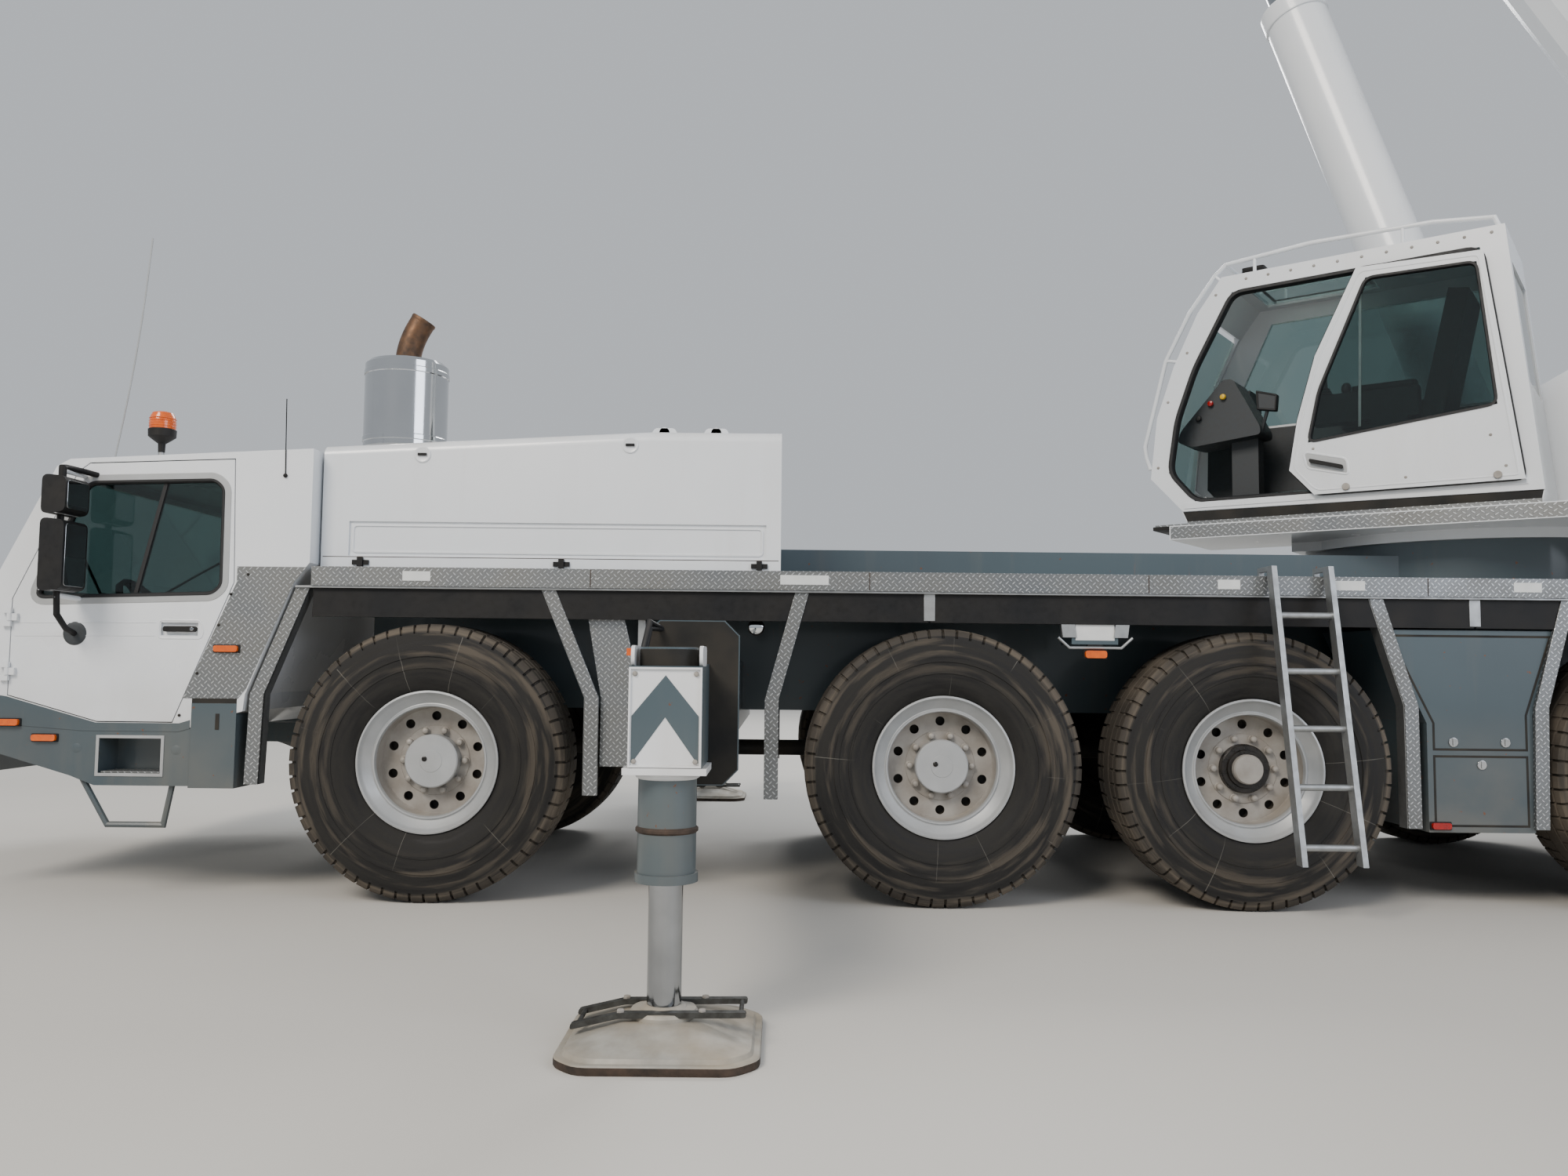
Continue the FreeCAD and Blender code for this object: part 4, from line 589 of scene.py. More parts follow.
def tyre_rubber(name):
    """Carbon-black rubber, cured in a mould: near black and matt, greyed by wear, with tan dirt in arcs
    round the side wall and fine radial lines where the mould's plates met. u is the turn and v the radius
    in metres."""
    material, tree, bsdf = new_material(name, Specular_IOR_Level=0.3)
    u, v, _ = add(tree, "SeparateXYZ", {0: add(tree, "TexCoord")["UV"]})
    angle = times(tree, u, 2 * math.pi)
    x, z = [times(tree, sums(tree, part, angle), 1.3) for part in ("COSINE", "SINE")]
    round_it = add(tree, "CombineXYZ", {0: x, 1: z, 2: times(tree, v, 22.0)})[0]
    arcs = mask(tree, 1000, 0.50, 0.66, detail=5, place=round_it)
    shade = mask(tree, 500, 0.35, 0.65, detail=8, place=round_it)
    outer = ramp(tree, v, 0.46, 0.62)
    dirt = times(tree, times(tree, arcs, outer), 0.42)
    tread = sums(tree, "GREATER_THAN", v, 0.7)
    dirt = sums(tree, "ADD", dirt, times(tree, tread, 0.18), clamp=True)
    tooth = sums(tree, "ABSOLUTE", sums(tree, "SUBTRACT", sums(tree, "FRACT", times(tree, u, 12.0)), 0.5))
    line = times(tree, sums(tree, "LESS_THAN", tooth, 0.006), mask(tree, 500, 0.5, 0.6, seed=5))
    line = times(tree, line, sums(tree, "LESS_THAN", v, 0.69))
    colour = laid_over(tree, shade, "1b1a1a", "2b2a28")
    colour = laid_over(tree, dirt, colour, "73695c")
    colour = laid_over(tree, times(tree, line, 0.35), colour, "8d8a82")
    grain = mask(tree, 12, 0.3, 0.7, detail=3)
    finish_surface(tree, bsdf, colour, shade, (0.62, 0.9), grain, 0.25)
    return material


def make_materials():
    """Every finish on the crane. The names of the record's slots come first."""
    return {
        "white": enamel("white_enamel", "e6e9ec", "dbe0e5", dust=0.5, clean=1.5, dirty=0.6),
        "blue_grey": enamel("blue_grey_chassis_enamel", "46555c", "3d4a51", dust=0.5, rust=0.5, clean=1.1,
                            dirty=0.0, gloss=0.38),
        "chequer": chequer_plate("aluminium_tread_plate", "d2d5d7", "888b8d", "6d6c66"),
        "aluminium": plain("mill_finish_aluminium", "b4b7b8", "9a9d9f", 60, (0.35, 0.55), 0.9, dust=0.1),
        "glass": tinted_glass("grey_tinted_glass", "7f9694"),
        "tyre": tyre_rubber("cured_black_rubber"),
        "axle_black": plain("black_chassis_paint", "191a1b", "232322", 120, (0.5, 0.8), dust=0.10,
                            Specular_IOR_Level=0.25),
        "chrome": plain("hard_chrome", "a9acaf", "8f9295", 200, (0.08, 0.2), 1.0, bump_mm=0.01),
        "float_steel": plain("galvanised_pressed_steel", "a9a69e", "8d8a82", 90, (0.55, 0.8), 0.2, dust=0.4),
        "black_plastic": plain("black_moulded_polypropylene", "141517", "1c1d1f", 30, (0.45, 0.65),
                               dust=0.03, Specular_IOR_Level=0.25),
        "stainless": plain("polished_stainless_steel", "c6c8c9", "b9bbbd", 400, (0.06, 0.16), 1.0,
                           bump_mm=0.01),
        "iron": plain("heat_tinted_steel_pipe", "7a5a41", "423a34", 70, (0.4, 0.65), 0.7),
        "trim": plain("dark_grey_abs", "2c3033", "373c40", 25, (0.5, 0.7)),
        "amber": plain("amber_polycarbonate", "e06510", "c8520a", 30, (0.15, 0.3), Coat_Weight=0.4),
        "drum_steel": plain("drum_steel_with_wire_rope", "5b5c5a", "3d3c39", 40, (0.45, 0.7), 0.8),
        "hook_yellow": enamel("yellow_enamel", "d9a514", "c8950f", dust=0.3, rust=0.3),
        # Silver wheel enamel: bright on the flange and gutter, browned by brake dust in the well
        "rim_paint": plain("silver_wheel_enamel", "b3b6b8", "a3a6a8", 160, (0.35, 0.5), 0.35, dust=0.12),
        "rim_dusty": plain("silver_enamel_with_brake_dust", "a5a29d", "8b8680", 110, (0.5, 0.75), 0.2,
                           dust=0.2),
        "grease": plain("black_bearing_grease", "141312", "24201c", 30, (0.2, 0.45), bump_mm=0.4),
        "gasket": plain("epdm_window_rubber", "101113", "191a1c", 30, (0.5, 0.7), bump_mm=0.05),
        "bare_plate": plain("bare_white_plate", "dcdedd", "cfd2d1", 90, (0.35, 0.5)),
        "red": plain("red_polycarbonate", "a31512", "8d100e", 30, (0.15, 0.3), Coat_Weight=0.4),
        "yellow": plain("yellow_moulded_knob", "e0b50f", "d1a60c", 20, (0.35, 0.45)),
        "mirror": plain("silvered_mirror_glass", "d6d9db", "cdd1d4", 300, (0.02, 0.05), 1.0, bump_mm=0.0),
        "rope": plain("galvanised_wire_rope", "77766f", "4a4843", 12, (0.45, 0.65), 0.8, bump_mm=0.6),
        "grime": plain("rust_brown_grimy_steel", "4a3b30", "2c2723", 50, (0.6, 0.85), 0.2, bump_mm=0.4),
    }


def dress_nodes():
    """Puts each finish on the CAD nodes, by the slot that the record gives them."""
    for entry in frame["record"]["subparts"]:
        node = frame["nodes"][entry["node"]]
        for slot in node.material_slots:
            slot.material = materials[entry["material_slot"]]


# Carrier: sides and deck

SKIN = 0.003  # how far a plate or seal that is laid on stands proud
STAYS = (  # top x, knee x, foot x and foot height of the slanted ends of the wheel arches
    (-4.490, -4.720, -4.735, 0.610), (-3.170, -2.925, -2.925, 0.570), (-1.800, -1.960, -1.960, 0.560),
    (1.290, 1.470, 1.475, 0.440), (2.330, 2.170, 2.155, 0.440))
KNEE_Z, STAY_HALF, SKIRT_LOW = 1.090, 0.0375, 1.510
SKIRT_Y = DECK_HALF - 0.045
LEDGE = DECK_TOP - DECK_EDGE
RAIL_LOW = LEDGE - 0.012  # underside of the rail below the deck's edge


def make_arches():
    """Black skirt panels under the deck edge, and the folded tread-plate stays between the wheels."""
    y0, y1 = SKIRT_Y, SKIRT_Y + 0.015
    w, head = STAY_HALF, LEDGE - 0.002
    patches = [block(x0, x1, y0 + 0.003, y1 - 0.002, SKIRT_LOW, LEDGE, "black_plastic")
               for x0, x1 in ((-4.44, -1.12), (-1.11, 1.82), (1.83, 3.95), (3.96, 5.56))]
    patches += [block(x - 0.03, x + 0.03, y1 - 0.003, y1 + 0.001, SKIRT_LOW + 0.01, RAIL_LOW, "aluminium")
                for x in (-1.115, 1.825, 3.955)]
    patches.append(block(DECK_FRONT - 0.09, 5.56, y0, DECK_HALF - 0.010, RAIL_LOW, LEDGE, "aluminium"))
    for top, knee, foot, low in STAYS:
        stay = [(top - w, head), (top + w, head), (knee + w, KNEE_Z), (foot + w, low), (foot - w, low),
                (knee - w, KNEE_Z)]
        edge = w if knee < top else -w
        fold = [(top + edge, head), (knee + edge, KNEE_Z), (foot + edge, low)]
        fold += [(x - 0.004, z) for x, z in fold[::-1]]
        patches += [prism(stay, y0 - 0.004, y1 + 0.004, "chequer"), prism(fold, y0 - 0.070, y1, "aluminium")]
    side = [(-2.930, LEDGE), (-2.990, LEDGE), (-2.885, KNEE_Z), (-2.885, 0.720), (-2.712, 0.720),
            (-2.712, 1.300),
            (-2.800, LEDGE)]
    patches.append(prism(side, y0 - 0.040, y0 - 0.034, "chequer"))
    make_piece("wheel_arches", mirror_y(patches), "carrier", ["mudguards"], bevel=0.002)


def make_deck_trim():
    """The deck edge's joints with their rivets, and small bare plates on it."""
    y = DECK_HALF
    patches = []
    for x in (-2.94, -1.44, 0.06, 1.56, 3.06, 4.56):
        patches.append(block(x - 0.0025, x + 0.0025, y, y + 0.001, LEDGE + 0.004, DECK_TOP - 0.004, "grime"))
        patches += [disc(0.007, 0, 0.003, 0.001, (x + dx, y, LEDGE + 0.05), RIGHT, 10, "aluminium")
                    for dx in (-0.03, 0.03)]
    patches += [block(x0, x1, y, y + 0.0015, LEDGE + 0.030, DECK_TOP - 0.022, "bare_plate")
                for x0, x1 in ((-3.95, -3.80), (-1.92, -1.66), (0.43, 0.55), (1.02, 1.22), (2.02, 2.17))]
    make_piece("deck_edge_plates", mirror_y(patches), "carrier", bevel=0.0004)


def lens(centre, length, height, finish, deep=0.022):
    """A side marker: a lens with rounded ends on a black base, facing +Y."""
    x, y, z = centre
    w, h = length / 2, height / 2
    base = rect(x - w - 0.008, x + w + 0.008, z - h - 0.005, z + h + 0.005, 0.006)
    shape = rect(x - w, x + w, z - h, z + h, height * 0.4)
    return [prism(base, y - 0.004, y + 0.005, "black_plastic"), prism(shape, y + 0.004, y + deep, finish)]


def make_lamps():
    """Amber side markers, red rear lamps and the headlamps."""
    front, rear, lamp_z = -6.500, 6.400, 0.72
    patches = [block(-0.26, -0.18, SKIRT_Y - 0.030, SKIRT_Y, 1.36, 1.404, "black_plastic")]
    for x, y, z in ((-6.03, BODY_HALF + 0.004, 0.929), (-5.83, BODY_HALF, 0.849),
                    (-4.88, BODY_HALF + SKIN, 1.332)):
        patches += lens((x, y, z), 0.128, 0.034, "amber")
    for x, z in ((-0.22, 1.350), (3.0, 1.62), (5.0, 1.62)):
        patches += lens((x, SKIRT_Y, z), 0.115, 0.040, "amber", 0.03)
    for y, r, finish in ((1.16, 0.085, "mirror"), (0.96, 0.085, "mirror"), (1.33, 0.05, "amber")):
        glass = [(0, 0.0045), (r * 0.6, 0.0042), (r * 0.9, 0.0034), (r, 0.002), (r, 0.0), (0, 0)]
        patches += [disc(r + 0.015, -0.004, 0.002, 0.001, (front, y, lamp_z), AHEAD, 32, "black_plastic"),
                    revolve(glass, (front, y, lamp_z), AHEAD, 32, finish)]
    patches += [block(rear, rear + 0.03, y - 0.04, y + 0.04, 1.40, 1.48, finish)
                for y, finish in ((0.36, "red"), (0.27, "amber"), (0.18, "red"))]
    make_piece("side_and_end_lamps", mirror_y(patches), "carrier", bevel=0.0015)


def make_lockers():
    """Door seams, hinges and catches of the lockers, the brackets and plate of the small box, and on the
    left a strut and a work lamp under the deck."""
    y = 1.400  # the lockers' face
    upper = [(1.36, 1.475), (2.245, 1.475), (2.100, 1.045), (2.100, 0.855), (1.59, 0.855), (1.59, 1.00)]
    lower = [(1.59, 0.830), (2.100, 0.830), (2.100, 0.45), (1.59, 0.45)]
    patches = [frame_round(door, band(0, 0.012, y, 0.0015), "axle_black") for door in (upper, lower)]
    for x, z in ((1.70, 0.90), (1.98, 0.90), (1.85, 0.78)):
        patches += [disc(0.026, 0, 0.006, 0.002, (x, y, z), RIGHT, 24, "stainless"),
                    block(x - 0.006, x + 0.006, y + 0.006, y + 0.012, z - 0.018, z + 0.018, "stainless")]
    patches += lens((1.62, y, 0.455), 0.10, 0.034, "red")
    patches.append(block(-0.325, -0.115, SKIRT_Y, SKIRT_Y + 0.002, 1.425, 1.655, "bare_plate"))
    for x0, x1, lean in ((-0.425, -0.350, 0.03), (-0.090, -0.015, -0.03)):
        bracket = [(x0, RAIL_LOW), (x1, RAIL_LOW), (x1 + lean, 1.44), (x0 + lean, 1.44)]
        patches.append(prism(bracket, SKIRT_Y - 0.03, SKIRT_Y + 0.010, "aluminium"))
    strap = [(-0.42, 1.44), (-0.36, 1.385), (-0.08, 1.385), (-0.02, 1.44)]
    patches.append(tube(at_depth(strap, SKIRT_Y + 0.006), 0.008, 8, "aluminium"))
    lamp = (-2.050, -1.330, 1.480)
    left = [block(-2.690, -2.650, -1.360, -1.330, 1.120, 1.665, "aluminium"),
            block(-2.062, -2.038, -1.345, -1.320, 1.510, 1.665, "black_plastic"),
            disc(0.046, -0.045, 0.012, 0.008, lamp, LEFT, 32, "black_plastic"),
            revolve([(0, 0.018), (0.030, 0.016), (0.038, 0.012), (0, 0.010)], lamp, LEFT, 32, "mirror")]
    make_piece("locker_trim", mirror_y(patches) + left, "carrier", bevel=0.001)


COVER_HALF, COVER_FRONT, COVER_LEVEL = 1.330, -4.44, -2.7
COVER_LOW, COVER_TOP, COVER_SLOPE = 2.46, 2.5595, 0.0559


def make_cover_trim():
    """The engine cover's pressed panel, latches, bottom catches, castings and top vents. The cover's top is
    at COVER_LOW + (x - COVER_FRONT) COVER_SLOPE as far as COVER_LEVEL, and level behind it."""
    y = COVER_HALF
    panel = rect(-4.275, -2.015, 1.865, 2.025, 0.03)
    patches = [frame_round(panel, [(0, y - 0.013), (0.002, y - 0.006), (0.010, y - 0.005),
                                   (0.014, y - 0.012)], "white"),
               prism(rect(-4.43, -1.93, 1.842, 1.846), y, y + 0.0008, "grime")]
    dish = [(0, 0), (0.046, 0), (0.046, 0.004), (0.040, 0.007), (0.030, 0.004), (0, 0.004)]
    for x, z in ((-3.899, 2.413), (-2.756, 2.477)):
        patches += [revolve(dish, (x, y, z), RIGHT, 32, "white"),
                    block(x - 0.024, x + 0.024, y + 0.004, y + 0.014, z - 0.007, z + 0.007, "black_plastic")]
    for x in (-4.22, -3.12, -2.037):
        patches += [block(x - 0.045, x + 0.045, y, y + 0.012, 1.800, 1.826, "black_plastic"),
                    block(x - 0.015, x + 0.015, y, y + 0.022, 1.790, 1.840, "black_plastic")]
    for x in (-2.59, -2.295):
        cast = rounded([(x - 0.085, 2.558), (x + 0.085, 2.558), (x + 0.060, 2.615), (x - 0.055, 2.615)], 0.02)
        patches += [prism(cast, y - 0.32, y - 0.20, "white"),
                    tube([(x, y - 0.20, 2.59), (x, y - 0.32, 2.59)], 0.030, 16, "white")]
    for x in np.arange(-3.6, -2.1, 0.12):
        top = COVER_TOP if x > COVER_LEVEL else COVER_LOW + (x - COVER_FRONT) * COVER_SLOPE
        patches.append(block(x, x + 0.08, 0.30, 0.95, top, top + 0.006, "black_plastic"))
    make_piece("cover_latches_and_vents", mirror_y(patches), "carrier", bevel=0.0015)


STACK_X, STACK_Y, STACK_R = -4.17, -0.80, 0.240


def make_exhaust():
    """Polished silencer drum with rolled rims and clamp bands, and a heat-tinted pipe bent to the rear: its
    middle line runs through (x0 + 0.085 t^2, y0, 3.045 + 0.265 t)."""
    x, y, r = STACK_X, STACK_Y, STACK_R
    foot = (x, y, 0)
    drum = [(0, 2.52), (r - 0.012, 2.52), (r, 2.532)]
    for z in (2.56, 2.96):
        drum += [(r, z), (r + 0.004, z + 0.005), (r + 0.004, z + 0.030), (r, z + 0.035)]
    drum += [(r, 3.030), (r - 0.020, 3.05), (0.09, 3.05), (0, 3.05)]
    t = np.linspace(0, 1, 9)
    bend = np.column_stack([x + 0.085 * t ** 2, np.full(9, y), 3.045 + 0.265 * t])
    way = (bend[-1] - bend[-2]) / np.linalg.norm(bend[-1] - bend[-2])
    lip = [(0.064, -0.01), (0.064, 0.014), (0.073, 0.014), (0.076, 0.004), (0.073, -0.01)]
    seat = [(0.075, 3.05), (0.083, 3.05), (0.083, 3.075), (0.075, 3.08)]
    patches = [revolve(drum, foot, UP, 96, "stainless"),
               disc(0.090, 2.470, 2.53, 0.004, foot, UP, 32, "axle_black"),
               tube(bend, 0.073, 32, "iron"),
               # This gasket-rubber disc just inside the mouth is painted shade and soot for the pipe's dark
               # hollow
               revolve([(0, 0.002), (0.064, 0.002), (0.066, 0), (0, 0)], bend[-1], way, 32, "gasket"),
               revolve(lip, bend[-1], way, 32, "iron", way), revolve(seat, foot, UP, 32, "iron", UP)]
    make_piece("silencer_and_pipe", patches, "carrier", ["exhaust_stack"], sharp=35)


# Driver's cab

DOOR_WINDOW = [(-5.925, 1.595), (-5.690, 2.190), (-5.640, 2.225), (-4.980, 2.245), (-4.930, 2.200),
               (-4.925, 1.670),
               (-4.975, 1.625)]
MIRROR_X, MIRROR_Y = -5.685, 1.640


def make_cab_skin():
    """Plates and seals on the driver's cab: tread plate behind the door, the bumper's upper band under the
    door line, screws, step, wipers and grille."""
    y = BODY_HALF
    tread = [(-5.105, 1.066), (-4.812, 1.066), (-4.770, 1.120), (-4.535, 1.692), (-4.470, 1.775),
             (-4.842, 1.775),
             (-4.842, 1.690)]
    under_door = [(-6.498, 1.135), (-6.046, 1.066), (-5.565, 0.932), (-5.120, 0.932), (-5.062, 0.950),
                  (-5.062, 0.904),
                  (-5.120, 0.888), (-5.640, 0.888), (-6.498, 0.950)]
    x0, x1, z0, z1 = -5.540, -5.210, 0.665, 0.850
    patches = [prism(tread, y, y + SKIN, "chequer"), prism(under_door, y, y + SKIN, "blue_grey"),
               block(-5.056, -4.816, y, y + SKIN, 0.592, 1.040, "blue_grey"),
               block(-5.056, -4.816, y, y + 0.001, 1.040, 1.066, "axle_black"),
               block(-4.925, -4.905, y + SKIN, y + 2 * SKIN, 0.900, 0.985, "axle_black"),
               frame_round(rect(x0, x1, z0, z1), band(-0.016, 0.0, y, 0.004), "rim_paint"),
               block(x0 + 0.01, x1 - 0.01, y - 0.150, y - 0.008, z0 + 0.001, z0 + 0.010, "chequer")]
    patches += [ball((x, y + SKIN, z), 0.008, "axle_black")
                for x, z in ((-4.782, 1.732), (-4.870, 1.625), (-4.929, 1.458), (-5.034, 1.199),
                             (-5.120, 0.975))]
    patches += [revolve([(0, 0.004), (0.018, 0.002), (0.026, 0), (0, 0)], (x, y, z), RIGHT, 20, "blue_grey")
                for x, z in ((-5.66, 0.795), (-5.13, 0.79))]
    foot, tip, lift = np.array([(-6.20, 0.30, 1.66), (-5.98, 1.05, 2.06), (-0.030, 0, 0.010)])
    arm = [foot + lift, (foot + tip) / 2 + lift * 1.2, tip + lift]
    blade = [tip + lift * 0.7 + (0.06, 0, -0.22), tip + lift * 0.7 + (-0.06, 0, 0.16)]
    patches += [tube(arm, 0.009, 8, "black_plastic"), tube(blade, 0.007, 8, "gasket"),
                disc(0.022, -0.02, 0.03, 0.004, foot, (-0.9, 0, 0.43), 16, "black_plastic")]
    front = -6.502
    middle = [block(front, -6.49, -y, y, 0.955, 1.135, "blue_grey"),
              block(front, front + 0.004, -0.95, 0.95, 1.200, 1.420, "black_plastic")]
    middle += [block(front - 0.002, front + 0.002, -0.92, 0.92, z, z + 0.014, "trim")
               for z in np.arange(1.225, 1.41, 0.032)]
    make_piece("cab_plates_and_seals", mirror_y(patches) + middle, "carrier", bevel=0.0008)


def make_door_trim():
    """Each cab door's window frame, seal, sliding divider, handle, mirrors and their arm."""
    y = BODY_HALF
    window = rounded(DOOR_WINDOW, 0.06, 6)
    surround = [(-0.040, y), (-0.038, y + 0.003), (-0.004, y + 0.003), (-0.002, y + 0.001)]
    seal = [(-0.006, y), (-0.006, y + 0.006), (0.006, y + 0.006), (0.014, y - 0.004), (0.014, y - 0.028),
            (-0.001, y - 0.028)]
    divider = [(-5.262, 2.235), (-5.240, 2.236), (-5.383, 1.618), (-5.405, 1.617)]
    lip = rounded([(-5.250, 1.385), (-5.020, 1.385), (-5.010, 1.430), (-5.030, 1.482), (-5.250, 1.482)], 0.02)
    lower_arm = [(-5.70, y + 0.004, 1.405), (-5.69, y + 0.10, 1.43), (MIRROR_X, y + 0.19, 1.50),
                 (MIRROR_X, MIRROR_Y, 1.60)]
    upper_arm = [(-5.62, y - 0.005, 2.262), (-5.66, y + 0.06, 2.272), (MIRROR_X, y + 0.17, 2.275),
                 (MIRROR_X, MIRROR_Y, 2.270), (MIRROR_X, MIRROR_Y, 1.595)]
    patches = [frame_round(window, surround, "rim_paint"), frame_round(window, seal, "gasket"),
               prism(divider, y - 0.040, y - 0.014, "gasket"),
               prism(rect(-5.225, -5.050, 1.420, 1.450, 0.014), y - 0.014, y + 0.010, "black_plastic"),
               revolve([(0, 0.013), (0.010, 0.012), (0.012, 0.008), (0, 0.008)], (-5.070, y, 1.435), RIGHT,
                       16, "chrome"),
               frame_round(lip, [(-0.006, y), (-0.003, y + 0.003), (0.003, y + 0.003), (0.006, y)], "white"),
               revolve([(0, 0.006), (0.045, 0.006), (0.058, 0.004), (0.064, 0), (0, 0)], (-5.70, y, 1.405),
                       RIGHT, 32,
                       "trim"),
               tube(lower_arm, 0.015, 12, "black_plastic"), tube(upper_arm, 0.0155, 12, "black_plastic")]
    for z in (1.458, 1.388):
        crease = [(-6.02, z + 0.004), (-5.27, z + 0.012), (-5.27, z + 0.008), (-6.02, z)]
        patches.append(prism(crease, y, y + 0.002, "white"))
    for z0, z1 in ((2.014, 2.222), (1.614, 1.996)):
        shell = rounded([(-5.725, z0), (-5.600, z0 + 0.012), (-5.600, z1 - 0.012), (-5.725, z1)], 0.035)
        glass = rect(MIRROR_Y - 0.09, MIRROR_Y + 0.09, z0 + 0.03, z1 - 0.03, 0.02)
        patches += [prism(shell, MIRROR_Y - 0.105, MIRROR_Y + 0.105, "black_plastic"),
                    prism(glass, -5.602, -5.597, "mirror", "front")]
    for name, side in SIDES.items():
        make_piece("door_trim_" + name, shifted(patches, 0, side), "door_" + name, bevel=0.0015)


def make_roof_fittings():
    """Rotating beacon on its stem, the whip aerial, the short aerial behind the door and a small roof
    lamp."""
    y = -1.150
    beacon, whip_foot, short_foot = (-5.435, y, 0), (-5.700, y, 0), (-4.602, -BODY_HALF - 0.004, 2.270)
    cap = [(0, 2.571), (0.068, 2.571), (0.070, 2.60), (0.066, 2.640), (0.055, 2.665), (0.030, 2.674),
           (0, 2.676)]
    base = [(0, 2.44), (0.018, 2.44), (0.020, 2.49), (0.050, 2.512), (0.072, 2.530), (0.074, 2.569),
            (0.068, 2.573),
            (0, 2.573)]
    stem = [(0, 2.35), (0.030, 2.35), (0.030, 2.385), (0.017, 2.39), (0.017, 2.445), (0, 2.445)]
    t = np.linspace(0, 1, 12)
    whip = np.column_stack([-5.700 + 0.160 * t + 0.02 * np.sin(t * math.pi), np.full(12, y),
                            2.385 + 1.295 * t])
    patches = [revolve(cap, beacon, UP, 40, "amber"), revolve(base, beacon, UP, 40, "black_plastic"),
               revolve(stem, beacon, UP, 24, "aluminium"), tube(whip, 0.005, 8, "rim_paint"),
               disc(0.022, 2.35, 2.40, 0.006, whip_foot, UP, 20, "black_plastic"),
               ball(short_foot, 0.012, "black_plastic"),
               tube([short_foot, (-4.610, short_foot[1], 2.690)], 0.003, 8, "black_plastic"),
               ball((-5.820, y, 2.352), 0.045, "red", 0.7, 20)]
    patches += [revolve([(0.068, z), (0.0715, z + 0.002), (0.068, z + 0.005)], beacon, UP, 40, "amber", UP)
                for z in (2.585, 2.600, 2.615, 2.630)]
    make_piece("beacon_and_aerials", patches, "carrier", ["roof_fittings"], sharp=40)


# Outriggers

OUTRIGGERS = {"front_left": (-2.290, -1), "front_right": (-2.580, 1), "rear_left": (5.750, -1),
              "rear_right": (6.040, 1)}
JACK_Y = 3.700
END_FACE = JACK_Y + 0.124
CHEVRON = [(0, 1.236), (0.112, 1.100), (0.112, 0.945), (0.103, 0.952), (0, 1.096), (-0.103, 0.952),
           (-0.112, 0.945),
           (-0.112, 1.100)]


def clipped_ring(half, z):
    """A square about the jack with its corners clipped by a quarter of its half side and softened, at one
    height."""
    a = 0.75 * half
    corners = [(-a, -half), (a, -half), (half, -a), (half, a), (a, half), (-a, half), (-half, a), (-half, -a)]
    flat = rounded(corners, 0.12 * half, 3)
    return np.column_stack([flat[:, 0], flat[:, 1] + JACK_Y, np.full(len(flat), z)])


def make_outrigger_ends():
    """On each beam's end: striped plate with raised edges, cap, ears, flange, the jack tube's seams and
    hoses."""
    face, y, back = END_FACE, JACK_Y, JACK_Y - 0.265
    centre = (0, y, 0)
    square = rect(-0.122, 0.122, 0.930, 1.262)
    edge = [(0, face), (0, face + 0.012), (0.006, face + 0.012), (0.009, face + 0.002)]
    flange = rect(-0.140, 0.140, y - 0.136, y + 0.136)
    ear = rect(y - 0.10, y + 0.10, 1.2655, 1.335, 0.03)
    plate = [(-0.116, 0.892), (-0.063, 0.838), (0.173, 0.838), (0.226, 0.892), (0.226, 1.377), (0.173, 1.430),
             (-0.063, 1.430), (-0.116, 1.377)]
    seams = (([(0.1015, 1.267), (0.1015, 1.322), (0.094, 1.3312), (0, 1.3312)], 40, "axle_black", UP),
             ([(0.1, 0.703), (0.107, 0.709), (0.107, 0.719), (0.1, 0.725)], 48, "grime", UP),
             ([(0.1, 0.884), (0.109, 0.890), (0.109, 0.905), (0.1, 0.905)], 48, "white", DOWN))
    patches = [prism(square, face, face + 0.003, "white"), frame_round(square, edge, "white"),
               prism(CHEVRON, face + 0.003, face + 0.0045, "blue_grey"),
               frame_round(flange, [(0, 0.905), (0, 0.928), (0.034, 0.928), (0.034, 0.905)], "white", "top"),
               block(-0.137, -0.121, y - 0.02, y + 0.09, 1.30, 1.325, "amber"),
               prism(plate, back, back + 0.0015, "axle_black")]
    patches += [revolve(profile, centre, UP, turns, finish, way) for profile, turns, finish, way in seams]
    patches += [prism(ear, x - 0.006, x + 0.006, "white", "front") for x in (-0.115, 0.115)]
    patches += [revolve([(0, 0.009), (0.006, 0.008), (0.009, 0.003), (0.009, 0)], (x, face + 0.003, z),
                        RIGHT, 8,
                        "rim_dusty", RIGHT) for x in (-0.102, 0.102) for z in (0.95, 1.24)]
    for z, top in ((1.195, 1.424), (1.135, 1.40)):
        hose = [(-0.05, back - 0.02, 1.40), (-0.09, back + 0.09, top), (-0.128, back + 0.12, z + 0.05),
                (-0.128, y - 0.10, z), (-0.120, y - 0.05, z - 0.02)]
        patches.append(tube(hose, 0.009, 10, "gasket"))
    for name, (x, side) in OUTRIGGERS.items():
        make_piece("outrigger_end_" + name, shifted(patches, x, side), "beam_" + name, bevel=0.0012)


